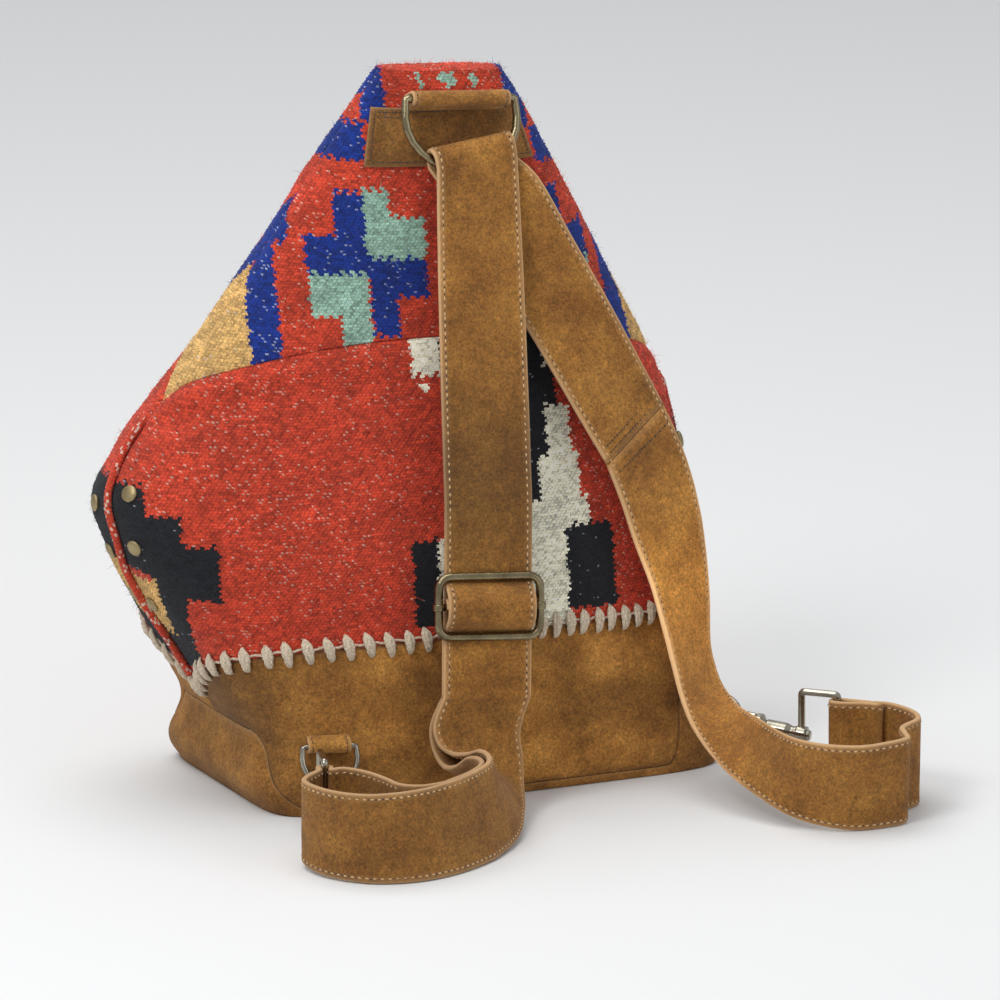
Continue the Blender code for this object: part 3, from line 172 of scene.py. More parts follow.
def suedeFinish(name, *tones):
    # brushed nap: broad hand marks, a fine grain, and paler cut edges where the mesh says so; the mesh's shade layer
    # multiplies in random tone and painted light and shade
    dark, middle, light, edge = (fromScreen(*tone) for tone in tones)
    material, tree, shader = newMaterial(name, roughness=0.94, sheen=0.08)
    shader.inputs["Sheen Roughness"].default_value = 0.45
    shader.inputs["Sheen Tint"].default_value = (1.0, 0.8, 0.55, 1.0)
    nap = rampNode(tree, noiseNode(tree, grainSet["nap"], 4.0, 0.55),
                   [(0.28, dark), (0.5, middle), (0.74, light)])
    grain = greyRamp(tree, grainSet["grain"], 4.0, 0.75, [(0.34, 0.56), (0.5, 0.98), (0.68, 1.5)])
    scuffs = greyRamp(tree, grainSet["scuff"], 5.0, 0.75, [(0.36, 0.78), (0.52, 1.0), (0.7, 1.26)])
    shade = mixNode(tree, "MULTIPLY", mixNode(tree, "MULTIPLY", nap, grain), scuffs)
    shade = mixNode(tree, "MIX", shade, edge, colourNode(tree, "edge").outputs["Fac"])
    shade = mixNode(tree, "MULTIPLY", shade, colourNode(tree, "shade").outputs["Color"])
    tree.links.new(shade, shader.inputs["Base Color"])
    scale, depth = grainSet["suedeBump"]
    bumpNode(tree, shader, noiseNode(tree, scale, 5.0, 0.75), depth, 0.8)
    return material


def metalFinish(name, dark, light, roughness):
    material, tree, shader = newMaterial(name, roughness=roughness, metallic=1.0)
    tone = rampNode(tree, noiseNode(tree, grainSet["metalTone"], 4.0),
                    [(0.25, fromScreen(*dark)), (0.75, fromScreen(*light))])
    tree.links.new(tone, shader.inputs["Base Color"])
    worn = greyRamp(tree, grainSet["metalWear"], 3.0, 0.5, [(0.3, roughness * 0.88), (0.7, roughness * 1.18)])
    tree.links.new(worn, shader.inputs["Roughness"])
    scale, depth = grainSet["metalBump"]
    bumpNode(tree, shader, noiseNode(tree, scale, 2.0), depth, 0.25)
    return material


def threadFinish(name, dark, light):
    material, tree, shader = newMaterial(name, roughness=0.9, sheen=0.2)
    tone = rampNode(tree, noiseNode(tree, grainSet["thread"], 3.0, 0.6),
                    [(0.3, fromScreen(*dark)), (0.7, fromScreen(*light))])
    tree.links.new(tone, shader.inputs["Base Color"])
    scale, depth = grainSet["threadBump"]
    bumpNode(tree, shader, noiseNode(tree, scale, 2.0), depth, 0.6)
    return material


finishes = {
    "wool": woolFinish("wool"),
    "suede": suedeFinish("suede", (122, 79, 30), (154, 104, 44), (190, 135, 62), (206, 166, 118)),
    "strap": suedeFinish("strapSuede", (122, 78, 28), (146, 97, 38), (168, 117, 50), (212, 172, 126)),
    "jute": threadFinish("jute", (168, 148, 122), (228, 214, 190)),
    "brass": metalFinish("antiqueBrass", (112, 100, 76), (150, 138, 108), 0.27),
    "rivet": metalFinish("rivetBrass", (140, 124, 90), (172, 156, 118), 0.5),
    "nickel": metalFinish("nickel", (140, 134, 120), (178, 172, 156), 0.24),
    "tape": threadFinish("zipTape", (26, 24, 24), (52, 48, 46)),
    "stitch": threadFinish("stitchThread", (196, 158, 104), (236, 200, 146)),
    "stitchDark": threadFinish("darkThreadAndHoleShade", (58, 36, 16), (88, 58, 28)),
}
print("finishes ready")

# shape of the bag: height, reach left, reach right, depth back, depth front, roundness
bagShape = {
    "levels": [
        (0.000, 0.129, 0.130, 0.078, 0.076, 8.0), (0.015, 0.136, 0.133, 0.079, 0.078, 6.5),
        (0.035, 0.132, 0.131, 0.078, 0.079, 4.8), (0.053, 0.140, 0.131, 0.077, 0.078, 4.2),
        (0.076, 0.154, 0.133, 0.077, 0.077, 3.6), (0.100, 0.170, 0.134, 0.074, 0.075, 3.0),
        (0.128, 0.186, 0.134, 0.070, 0.071, 2.7), (0.155, 0.196, 0.131, 0.064, 0.067, 2.4),
        (0.180, 0.185, 0.126, 0.058, 0.061, 2.2), (0.205, 0.166, 0.119, 0.052, 0.054, 2.1),
        (0.254, 0.126, 0.095, 0.041, 0.042, 2.0), (0.316, 0.082, 0.064, 0.027, 0.028, 2.0),
        (0.357, 0.052, 0.042, 0.016, 0.016, 2.2), (0.374, 0.040, 0.031, 0.009, 0.009, 3.0)],
    "topLean": 0.09, "frontFlattening": 0.5, "foldRise": 0.001, "foldLength": 0.021,
    "joinMiddle": 0.088, "joinSide": 0.053, "joinTurn": 5,
    "yokeMiddle": 0.248, "yokeSide": 0.208, "yokeFrontLevel": 0.60, "yokeFrontTurn": 2.2,
    "yokeBack": 0.2408, "yokeBackSide": 0.2155, "yokeBackTurn": 2.6, "yokeBackCorner": 30,
    "baseEnd": 0.040, "baseEdge": 0.004, "baseRight": (0.478, 0.085), "baseLeft": (0.58, 0.20),
    "seamShift": 0.0105, "seamShiftHeight": 0.146, "seamShiftSpread": 0.020,
    "wool": 0.003, "suede": 0.0026, "gap": 0.0003}
levels = np.array(bagShape["levels"])
bagTop = levels[-1, 0]
fineSteps = 72
gap = bagShape["gap"] / 2


def bell(x, middle, width):
    return np.exp(-((x - middle) / width) ** 2)


def fading(x, reach):
    return np.exp(-x / reach)


def unit(x):
    return np.clip(x, 0, 1)


def falling(middle, side, off, turn):
    return middle - (middle - side) * off ** turn


def levelValues(h):
    h = np.clip(h, 0.0, bagTop)
    k = np.clip(np.searchsorted(levels[:, 0], h) - 1, 0, len(levels) - 2)
    low, high = levels[k], levels[k + 1]
    before, after = levels[np.maximum(k - 1, 0)], levels[np.minimum(k + 2, len(levels) - 1)]
    span = (high[:, 0] - low[:, 0])[:, None]
    t = (h[:, None] - low[:, :1]) / span
    slopeLow = (high - before) / (high[:, :1] - before[:, :1]) * span
    slopeHigh = (after - low) / (after[:, :1] - low[:, :1]) * span
    t2, t3 = t * t, t * t * t
    made = (2 * t3 - 3 * t2 + 1) * low + (t3 - 2 * t2 + t) * slopeLow \
        + (-2 * t3 + 3 * t2) * high + (t3 - t2) * slopeHigh
    return made[:, 1:6].T


def bagOutline(side, h):
    left, right, back, front, roundness = levelValues(h)
    depth = np.where(side < 0, back, front)
    power = (2 / (roundness + np.where(side > 0, bagShape["frontFlattening"], 0.0)))[:, None]
    angle = math.pi * (1 - np.arange(fineSteps + 1) / fineSteps)
    along, out = np.cos(angle)[None], np.abs(np.sin(angle))[None]
    out = np.where(out < 1e-9, 0.0, out)
    reach = np.where(along < 0, left[:, None], right[:, None])
    x = np.sign(along) * reach * np.abs(along) ** power
    y = side[:, None] * depth[:, None] * out ** power
    z = np.clip(h, 0, bagTop)[:, None] - bagShape["topLean"] * x * (np.clip(h, 0, bagTop)[:, None] / bagTop) ** 2
    points = np.stack((x, y, z), axis=2)
    steps = np.linalg.norm(np.diff(points, axis=1), axis=2)
    lengths = np.concatenate((np.zeros((len(h), 1)), np.cumsum(steps, axis=1)), axis=1)
    return points, lengths


def bagPoint(side, across, h):
    side, across, h = (np.asarray(v, float) for v in np.broadcast_arrays(side, across, h))
    made = np.empty((len(h), 3))
    for first in range(0, len(h), 20000):
        part = slice(first, first + 20000)
        sd, ac, ht = side[part], across[part], h[part]
        past = (ac < 0) | (ac > 1)
        sd = np.where(past, -sd, sd)
        ac = np.where(ac < 0, -ac, np.where(ac > 1, 2 - ac, ac))
        points, lengths = bagOutline(sd, ht)
        wanted = ac * lengths[:, -1]
        low = np.clip((lengths <= wanted[:, None]).sum(1) - 1, 0, fineSteps - 1)
        rows = np.arange(len(ht))
        share = (wanted - lengths[rows, low]) / (lengths[rows, low + 1] - lengths[rows, low])
        made[part] = points[rows, low] * (1 - share)[:, None] + points[rows, low + 1] * share[:, None]
    return made


def bagNormal(side, across, h, near=0.012, rise=0.003):
    side, across, h = (np.asarray(v, float) for v in np.broadcast_arrays(side, across, h))
    along = bagPoint(side, across + near, h) - bagPoint(side, across - near, h)
    upward = bagPoint(side, across, np.minimum(h + rise, bagTop)) - bagPoint(side, across, np.maximum(h - rise, 0))
    normal = np.cross(along, upward) * -side[:, None]
    length = np.linalg.norm(normal, axis=1)[:, None]
    plain = np.stack((np.zeros_like(h), side, np.zeros_like(h)), axis=1)
    return np.where(length < 1e-12, plain, normal / np.maximum(length, 1e-12))


def skinPoint(side, across, h, proud):
    return bagPoint(side, across, h) + bagNormal(side, across, h) * np.reshape(proud, (-1, 1))


# arc lengths left and right of the middle, for laying the cloth out flat
tableHeights = np.linspace(0, bagTop, 380)
halfLengths = {}
for side in (-1, 1):
    outline = bagOutline(np.full(len(tableHeights), float(side)), tableHeights)[1]
    middle = outline[:, fineSteps // 2]
    halfLengths[side] = (middle, outline[:, -1] - middle)


def acrossAt(side, x, h, rounds=30):
    # how far across a side the given x lies
    low, high = np.zeros(len(x)), np.ones(len(x))
    for _ in range(rounds):
        mid = (low + high) / 2
        short = bagPoint(side, mid, h)[:, 0] < x
        low, high = np.where(short, mid, low), np.where(short, high, mid)
    return (low + high) / 2


def clothReach(side, h):
    left, right = halfLengths[side]
    return np.interp(h, tableHeights, left), np.interp(h, tableHeights, right)


def seamShift(h):
    # the left side seam wanders this far onto the back at its widest
    return bagShape["seamShift"] * bell(h, bagShape["seamShiftHeight"], bagShape["seamShiftSpread"])


def joinHeight(across):
    return falling(bagShape["joinMiddle"], bagShape["joinSide"], np.abs(2 * across - 1), bagShape["joinTurn"])


def yokeHeight(side, across):
    off = np.abs(2 * across - 1)
    if side < 0:
        steady = falling(bagShape["yokeBack"], bagShape["yokeBackSide"], off, bagShape["yokeBackTurn"])
        return steady - (bagShape["yokeBackSide"] - bagShape["yokeSide"]) * off ** bagShape["yokeBackCorner"]
    off = np.maximum(off - bagShape["yokeFrontLevel"], 0) / (1 - bagShape["yokeFrontLevel"])
    return falling(bagShape["yokeMiddle"], bagShape["yokeSide"], off, bagShape["yokeFrontTurn"])


def baseEdgeHeight(across):
    # the bottom panel's ends turn up where the back and front meet the sides
    off = 2 * across - 1
    (right, rightRun), (left, leftRun) = bagShape["baseRight"], bagShape["baseLeft"]
    t = unit(np.where(off > 0, (off - right) / rightRun, (-off - left) / leftRun))
    return bagShape["baseEdge"] + (bagShape["baseEnd"] - bagShape["baseEdge"]) * t * t * (3 - 2 * t)


# mesh helpers

def gridFaces(rows, columns, looped=False, flip=False):
    index = np.arange(rows * columns).reshape(rows, columns)
    nextColumn = np.roll(index, -1, axis=1) if looped else index[:, 1:]
    here = index if looped else index[:, :-1]
    made = np.stack((here[:-1].ravel(), nextColumn[:-1].ravel(), nextColumn[1:].ravel(), here[1:].ravel()), axis=1)
    return made[:, ::-1] if flip else made


def newPiece(name, points, faces, look, body, replaced=(), smooth=True):
    mesh = bpy.data.meshes.new(name)
    mesh.from_pydata([tuple(p) for p in points], [], [tuple(f) for f in faces])
    mesh.update()
    piece = bpy.data.objects.new(name, mesh)
    bpy.context.scene.collection.objects.link(piece)
    mesh.materials.append(finishes[look])
    if smooth:
        mesh.shade_smooth()
    if body:
        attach(piece, body)
    if replaced:
        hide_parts(*replaced)
    return piece


def paintCorners(mesh, layer, colours, tones=None):
    # one colour for each face, written to its corners; tones are for the corners of four-sided faces
    made = mesh.color_attributes.new(layer, "FLOAT_COLOR", "CORNER")
    counts = np.zeros(len(mesh.polygons), np.int32)
    mesh.polygons.foreach_get("loop_total", counts)
    full = np.repeat(np.column_stack((colours, np.ones(len(colours)))), counts, axis=0)
    if tones is not None:
        full[:, :3] *= tones.reshape(-1, 1)
    made.data.foreach_set("color", full.astype(np.float32).ravel())


def paintPoints(mesh, layer, colours):
    made = mesh.color_attributes.new(layer, "FLOAT_COLOR", "POINT")
    full = np.column_stack((colours, np.ones(len(colours))))
    made.data.foreach_set("color", full.astype(np.float32).ravel())


def meshPoints(mesh):
    made = np.empty(len(mesh.vertices) * 3)
    mesh.vertices.foreach_get("co", made)
    return made.reshape(-1, 3)


def addSkirt(piece, depth, outward=None):
    # turns every open edge inwards, so that the cloth shows its thickness
    shape = bmesh.new()
    shape.from_mesh(piece.data)
    shape.normal_update()
    rim = [e for e in shape.edges if e.is_boundary]
    normals = {v: v.normal.copy() if outward is None else Vector(outward[v.index]) for e in rim for v in e.verts}
    made = bmesh.ops.extrude_edge_only(shape, edges=rim)
    for v in [g for g in made["geom"] if isinstance(g, bmesh.types.BMVert)]:
        closest = min((e.other_vert(v) for e in v.link_edges if e.other_vert(v) in normals), default=None,
                      key=lambda o: (o.co - v.co).length)
        v.co -= normals.get(closest, Vector((0, 0, 0))) * depth
    shape.to_mesh(piece.data)
    shape.free()


def ripple(points, size, seed=0.0):
    # smooth unevenness, from -1 to 1
    return np.array([noise.noise(Vector(p) * size + Vector((seed, seed, seed))) for p in points])


# kilim cloth: rectangles in millimetres along the weft and up the bag, later ones on top
dyes = {"red": (204, 66, 40), "blue": (14, 48, 136), "teal": (156, 192, 172), "ochre": (220, 176, 108),
        "cream": (255, 250, 226), "black": (24, 26, 32), "dot": (240, 205, 185), "dotBlue": (200, 208, 228)}
weave = {"cell": 0.0025, "row": 0.00148, "left": 0.236, "right": 0.2, "leastCell": 0.06,
         "relief": 0.00060, "uneven": (0.35, 1.35), "wander": 0.00022, "seed": 7,
         "tooth": 0.0026, "toothRun": 0.012, "stub": 0.0016, "stubRun": 0.02,
         "tone": (0.70, 0.62), "lit": 1.38, "shaded": 0.84,
         "specks": {"red": 0.10, "blue": 0.09}, "otherSpecks": 0.03, "speckPaint": 0.55,
         "edgeFade": 0.002, "looseFade": 0.003, "softFade": 0.012, "seamDepth": 0.0012, "seamReach": 0.003,
         "swell": (0.0016, 0.0075, 0.005), "dip": (0.0022, 0.020, 0.008), "zipPress": (0.0016, 0.034, -0.014, 0.075)}


def shoulderBlocks(stepEnd):
    return [(-400, -125, 200, 272, "ochre"), (-125, -108, 200, 296, "blue"), (-112, stepEnd, 286, 330, "blue"),
            (-100, -54, 328, 347, "blue"), (-54, -40, 347, 400, "blue"),
            (100, 400, 200, 272, "ochre"), (85, 100, 200, 292, "blue"), (45, 90, 324, 343, "blue"),
            (28, 45, 343, 400, "blue")]


def sideBlocks(*ochre):
    return [(-400, -191, 124, 168, "black"), (-193, -172, 108, 155, "black"), (-174, -154, 112, 141, "black"),
            (-400, -173, 66, 112, "black"), (-400, *ochre, "ochre"),
            (134, 400, 150, 190, "black"), (118, 134, 128, 152, "black"), (134, 400, 120, 150, "cream"),
            (104, 119, 96, 130, "black"), (119, 400, 92, 121, "ochre")]


flower = [(-74, -58, 277, 313, "blue"), (-91, -58, 271, 291, "blue"), (-58, -45, 277, 314, "teal"),
          (-58, -26, 279, 301, "teal"), (-58, -27, 261, 280, "blue"), (-58, -44, 241, 280, "blue"),
          (-91, -59, 251, 273, "teal"), (-75, -59, 236, 273, "teal")]
flowerMirror = -8
kilimBack = {
    "upper": shoulderBlocks(-100)
    + [(-22, -18, 366, 373, "teal"), (-8, 0, 366, 373, "teal"), (9, 13, 366, 373, "teal")]
    + flower + [(2 * flowerMirror - b, 2 * flowerMirror - a, *rest) for a, b, *rest in flower],
    "lower": sideBlocks(-190, 88, 120) + [
        (139, 400, 174, 179, "cream"), (-40, 29, 221, 260, "cream"), (-36, -31, 213, 217, "cream"),
        (-24, 41, 198, 243, "black"), (-12, 33, 175, 198, "black"), (-6, 26, 152, 175, "black"),
        (33, 47, 175, 200, "cream"), (26, 50, 152, 175, "cream"), (-6, 53, 138, 152, "cream"),
        (-38, 39, 60, 138, "cream"), (34, 36, 227, 230, "cream"), (35, 39, 220, 224, "cream"),
        (-50, -36, 94, 138, "black"), (38, 66, 94, 138, "black")]}
kilimFront = {
    "upper": shoulderBlocks(-98) + [
        (-30, 14, 285, 307, "blue"), (-19, 3, 274, 318, "blue"), (-24, 8, 290, 302, "teal"),
        (-13, -3, 281, 311, "teal")],
    "lower": sideBlocks(-191, 92, 124) + [
        (-70, 40, 150, 176, "cream"), (-52, 22, 176, 196, "cream"), (-34, 4, 196, 214, "cream"),
        (-52, 22, 130, 150, "cream"), (-34, 4, 112, 130, "cream"),
        (-40, 10, 154, 172, "black"), (-24, -6, 138, 188, "black"), (-20, -10, 158, 168, "ochre")]}


def dyeCells(rectangles, s, h):
    names = list(dyes)
    made = np.full(len(s), names.index("red"))
    for left, right, low, high, name in rectangles:
        made[(s >= left) & (s < right) & (h >= low) & (h < high)] = names.index(name)
    return made


def clothPoint(side, s, h, proud):
    left, right = clothReach(side, h)
    across = (s + left) / (left + right)
    over = unit((h - bagTop) / bagShape["foldLength"])
    level = np.minimum(h, bagTop)
    base, out = bagPoint(side, across, level), bagNormal(side, across, level)
    turn = math.pi * over
    # past the top edge the cloth rolls over to the other side
    base[:, 1] *= np.cos(turn)
    base[:, 2] += bagShape["foldRise"] * np.sin(turn)
    rolled = np.stack((out[:, 0], out[:, 1] * np.cos(turn), np.abs(out[:, 1]) * np.sin(turn) + out[:, 2]), axis=1)
    out = np.where((over > 0)[:, None], rolled / np.maximum(np.linalg.norm(rolled, axis=1), 1e-9)[:, None], out)
    return base + out * np.reshape(proud, (-1, 1)), out


def withinCloth(side, s, h):
    # keeps a place on the flat cloth between the side seams, and says how far along and how far in it lies
    left, right = clothReach(side, h)
    leftSeam = -left - side * seamShift(h)
    s = np.clip(s, leftSeam, right)
    return s, (s + left) / (left + right), np.minimum(s - leftSeam, right - s)


def kilimPanel(name, side, lowEdge, highEdge, rectangles, replaced, atTop, pinchDepth, pinchReach):
    # atTop says which edge the seam pulls in
    dw, dh = weave["cell"] / 2, weave["row"] / 2
    ends = np.linspace(0, 1, 101)
    rows = np.arange(math.floor(lowEdge(ends).min() / dh), math.ceil(highEdge(ends).max() / dh) + 1)
    columns = np.arange(-math.ceil(weave["left"] / dw), math.ceil(weave["right"] / dw) + 1)
    column, row = (v.ravel() for v in np.meshgrid(columns, rows))
    h = row * dh
    for _ in range(10):
        across = withinCloth(side, column * dw, h)[1]
        h = np.clip(row * dh, lowEdge(across), highEdge(across))
    s, across, fromSeam = withinCloth(side, column * dw, h)
    cells = gridFaces(len(rows), len(columns))
    a, b, c, d = cells.T
    area = 0.5 * np.abs((s[c] - s[a]) * (h[d] - h[b]) - (s[d] - s[b]) * (h[c] - h[a]))
    cells = cells[area > weave["leastCell"] * dw * dh]
    # plain weave: the middle of every float stands up, its row neighbours half a float along
    raised = (row % 2 == 1) & ((column + (row - 1) // 2) % 2 == 0)
    rng = np.random.default_rng(weave["seed"])
    relief = np.where(raised, weave["relief"] * rng.uniform(*weave["uneven"], len(s)), 0.0)
    fromEdge = np.minimum(h - lowEdge(across), highEdge(across) - h)
    fromRim = np.minimum(fromEdge, fromSeam)
    relief *= unit(fromEdge / weave["edgeFade"])
    loose = unit(fromRim / weave["looseFade"])
    s = s + rng.normal(0, weave["wander"], len(s)) * loose
    h = h + rng.normal(0, weave["wander"] * 0.6, len(s)) * loose
    below = highEdge(across) - h
    sunk = pinchDepth * fading(np.maximum(below if atTop else h - lowEdge(across), 0), pinchReach)
    seam = weave["seamDepth"] * fading(np.maximum(fromSeam, 0), weave["seamReach"])
    plain = clothPoint(side, s, h, 0.0)[0]
    soft = ripple(plain, 26, 3.0) * 0.0011 + ripple(plain, 75, 9.0) * 0.0004
    if atTop and side < 0:
        # the cloth swells under the seam and dips below that
        (swell, *swellAt), (dip, *dipAt) = weave["swell"], weave["dip"]
        soft += (swell * bell(below, *swellAt) - dip * bell(below, *dipAt)) * np.clip(1.15 - across * 1.6, 0.25, 1)
    soft *= unit(fromRim / weave["softFade"])
    if atTop and side > 0:
        # pressed in under the zip, so that its pull hangs clear
        press, reachDown, middle, half = weave["zipPress"]
        soft -= press * bell(below, 0, reachDown) * np.exp(-((s - middle) / half) ** 4)
    points, outward = clothPoint(side, s, h, relief + soft - sunk - seam)
    used = np.unique(cells)
    faces = np.searchsorted(used, cells)
    if side > 0:
        faces = faces[:, ::-1]

    # colours, one for each float of the weft
    row, column = row[cells[:, 0]], column[cells[:, 0]]
    weft = row // 2
    cell = (column + weft % 2) // 2
    middleS, middleH = (cell * 2 - weft % 2 + 1) * dw, (weft + 0.5) * weave["row"]
    chance = rng.random((4, 512, 512))
    toothRow, stubColumn = (middleH / weave["toothRun"]).astype(int), (middleS / weave["stubRun"]).astype(int)
    tooth = weave["tooth"] * (cell % 2) * (0.25 + chance[1][toothRow % 512, cell % 512])
    stub = weave["stub"] * (chance[2][(weft // 2) % 512, stubColumn % 512] - 0.3)
    kinds = dyeCells(rectangles, (middleS + stub) * 1000, (middleH - tooth) * 1000)
    names = list(dyes)
    palette = np.array([fromScreen(*dyes[n]) for n in names])
    least, more = weave["tone"]
    colours = palette[kinds] * (least + more * chance[0][weft % 512, cell % 512])[:, None]
    # warp ends that show as pale specks
    drift = ripple(np.column_stack((middleS, middleH * 0.6, 0 * middleS)), 20, 5.0)
    drift = 0.6 + 1.6 * unit(drift + 0.3)
    share = drift * np.array([weave["specks"].get(n, weave["otherSpecks"]) for n in names])[kinds]
    showing = (chance[3][weft % 512, cell % 512] < share) & (row % 2 == 0) & ((column + weft % 2) % 2 == 0)
    red, dot, dotBlue = (names.index(word) for word in ("red", "dot", "dotBlue"))
    pale = np.where((kinds == red)[:, None], palette[dot], palette[dotBlue])
    paint = weave["speckPaint"]
    colours = np.where(showing[:, None], colours * (1 - paint) + pale * paint, colours)
    piece = newPiece(name, points[used], faces, "wool", "bag", replaced)
    # corners on raised floats get painted light, the others painted shade
    paintCorners(piece.data, "dyeAndShade", colours, np.where(raised[used], weave["lit"], weave["shaded"])[faces])
    addSkirt(piece, bagShape["wool"] * 0.9, outward[used])
    print("kilim", name, len(faces), "faces")
    return points[used], faces, colours


fuzzSet = {"counts": {"lowerBack": 13000, "upperBack": 9000, "lowerFront": 4500, "upperFront": 2500}, "seed": 20,
           "length": (2.2, 0.0009), "thickness": (0.00005, 0.00010), "bend": (0.4, 1.6), "rooted": 0.0003,
           "middle": (0.45, 0.25, 0.8), "tip": (0.75, 0.8), "shade": (0.9, 1.5), "paler": 0.02}


def woolFuzz(name, cloth, count, seed):
    # loose fibres standing out of the wool
    points, faces, colours = cloth
    rng = np.random.default_rng(seed)
    chosen = rng.integers(0, len(faces), count)
    corners = points[faces[chosen]]
    base = corners.mean(axis=1)
    normal = np.cross(corners[:, 2] - corners[:, 0], corners[:, 3] - corners[:, 1])
    normal /= np.maximum(np.linalg.norm(normal, axis=1), 1e-12)[:, None]
    lean = rng.normal(0, 1, (count, 3))
    lean -= normal * (lean * normal).sum(1)[:, None]
    lean /= np.linalg.norm(lean, axis=1)[:, None]
    length = rng.gamma(*fuzzSet["length"], count)[:, None]
    sideways = np.cross(normal, lean) * rng.uniform(*fuzzSet["thickness"], (count, 1))
    bend = rng.uniform(*fuzzSet["bend"], (count, 1))
    (midUp, midOut, midWide), (tipUp, tipOut) = fuzzSet["middle"], fuzzSet["tip"]
    middle = base + normal * length * midUp + lean * length * midOut * bend
    tip = base + normal * length * tipUp + lean * length * tipOut * bend
    root = base - normal * fuzzSet["rooted"]
    made = np.stack((root - sideways, root + sideways, middle + sideways * midWide, middle - sideways * midWide, tip),
                    axis=1)
    first = np.arange(count)[:, None] * 5
    quads = [tuple(f) for f in first + np.array([[0, 1, 2, 3]])]
    tips = [tuple(f) for f in first + np.array([[3, 2, 4]])]
    fuzz = newPiece(name, made.reshape(-1, 3), quads + tips, "wool", "bag")
    shade = colours[chosen] * rng.uniform(*fuzzSet["shade"], (count, 1)) + fuzzSet["paler"]
    paintCorners(fuzz.data, "dyeAndShade", np.concatenate((shade, shade)))


zipRoom = {"middle": -0.014, "half": 0.052, "slot": 0.0050, "ends": 0.012}


def zipOpening(across):
    left, right = clothReach(1, np.full(len(across), bagShape["yokeMiddle"]))
    x = across * (left + right) - left
    t = unit(1 - (np.abs(x - zipRoom["middle"]) - zipRoom["half"]) / zipRoom["ends"])
    return zipRoom["slot"] * t * t * (3 - 2 * t)


cloths = {
    "lowerBack": kilimPanel("kilimLowerBack", -1, lambda u: joinHeight(u) + gap, lambda u: yokeHeight(-1, u) - gap,
                            kilimBack["lower"], ["kilim_lower_back"], True, 0.0016, 0.003),
    "upperBack": kilimPanel("kilimUpperBack", -1, lambda u: yokeHeight(-1, u) + gap,
                            lambda u: np.full(len(u), bagTop + bagShape["foldLength"]),
                            kilimBack["upper"], ["kilim_upper_back"], False, 0.0012, 0.002),
    "lowerFront": kilimPanel("kilimLowerFront", 1, lambda u: joinHeight(u) + gap,
                             lambda u: yokeHeight(1, u) - gap - zipOpening(u),
                             kilimFront["lower"], ["kilim_lower_front"], True, 0.0012, 0.003),
    "upperFront": kilimPanel("kilimUpperFront", 1, lambda u: yokeHeight(1, u) + gap + zipOpening(u),
                             lambda u: np.full(len(u), bagTop - bagShape["gap"]),
                             kilimFront["upper"], ["kilim_upper_front"], False, 0.0012, 0.002)}
for number, (word, count) in enumerate(fuzzSet["counts"].items()):
    woolFuzz("fuzz_" + word, cloths[word], count, fuzzSet["seed"] + number)
print("wool done")

# suede skins of the base

suedeSet = {"wrinkle": 0.0010, "crease": 0.0012, "bulge": 0.0012, "rimFade": 0.010, "endFade": 0.03,
            "joinSunk": (0.0014, 0.0022), "baseSunk": (0.0012, 0.0016), "shadedLeftEnd": (0.60, 0.54, 0.10, 0.22),
            "lowShade": (0.12, 0.010), "broadShade": 0.30, "fineShade": 0.16, "cutEdge": (0.5, 0.0006)}
bottomSet = {"rings": (0.0, 0.3, 0.6, 0.85, 0.96), "ringShade": 0.8, "levels": 14, "fade": 0.008, "ruffle": 0.0016,
             "cutEdge": (0.35, 0.0006), "lowShade": (0.14, 0.005), "leftShade": (0.22, 0.25)}


def paintSuede(piece, edge, shade):
    for layer, tone in (("edge", edge), ("shade", shade)):
        paintPoints(piece.data, layer, np.repeat(np.reshape(tone, (-1, 1)), 3, axis=1))


def stretched(points, upward):
    return points * np.array([1, 1, upward])


def suedeBase(name, side, replaced):
    columns, rows = 170, 30
    across = np.linspace(0, 1, columns)
    low, high = baseEdgeHeight(across) + gap, joinHeight(across) - gap
    h = (low + (high - low) * np.linspace(0, 1, rows)[:, None]).ravel()
    u = np.tile(across, rows)
    plain = bagPoint(side, u, h)
    fromLow, fromHigh = h - np.tile(low, rows), np.tile(high, rows) - h
    fade = unit(np.minimum(fromLow, fromHigh) / suedeSet["rimFade"]) \
        * unit(np.minimum(u, 1 - u) / suedeSet["endFade"])
    soft = ripple(plain, 22, 5.0) * suedeSet["wrinkle"] \
        + ripple(stretched(plain, 2.4), 48, 8.0) * suedeSet["crease"] * 0.6
    (joinSunk, joinReach), (baseSunk, baseReach) = suedeSet["joinSunk"], suedeSet["baseSunk"]
    sunk = joinSunk * fading(fromHigh, joinReach) + baseSunk * fading(fromLow, baseReach)
    points = skinPoint(side, u, h, soft * fade - sunk)
    piece = newPiece(name, points, gridFaces(rows, columns, flip=side > 0), "suede", "bag", replaced)
    (darker, darkReach), (pale, paleReach) = suedeSet["lowShade"], suedeSet["cutEdge"]
    # darker towards the bottom edge, and painted light and shade of soft horizontal folds
    shade = 1.0 - darker * fading(fromLow, darkReach) \
        + suedeSet["broadShade"] * ripple(stretched(plain, 2.2), 15, 2.0) \
        + suedeSet["fineShade"] * ripple(stretched(plain, 3.0), 42, 6.0)
    # painted shade on the left end of the back
    if side < 0:
        least, more, begins, run = suedeSet["shadedLeftEnd"]
        shade = shade * (least + more * unit((u - begins) / run))
    paintSuede(piece, pale * fading(fromHigh, paleReach), shade)
    addSkirt(piece, bagShape["suede"] * 0.9)


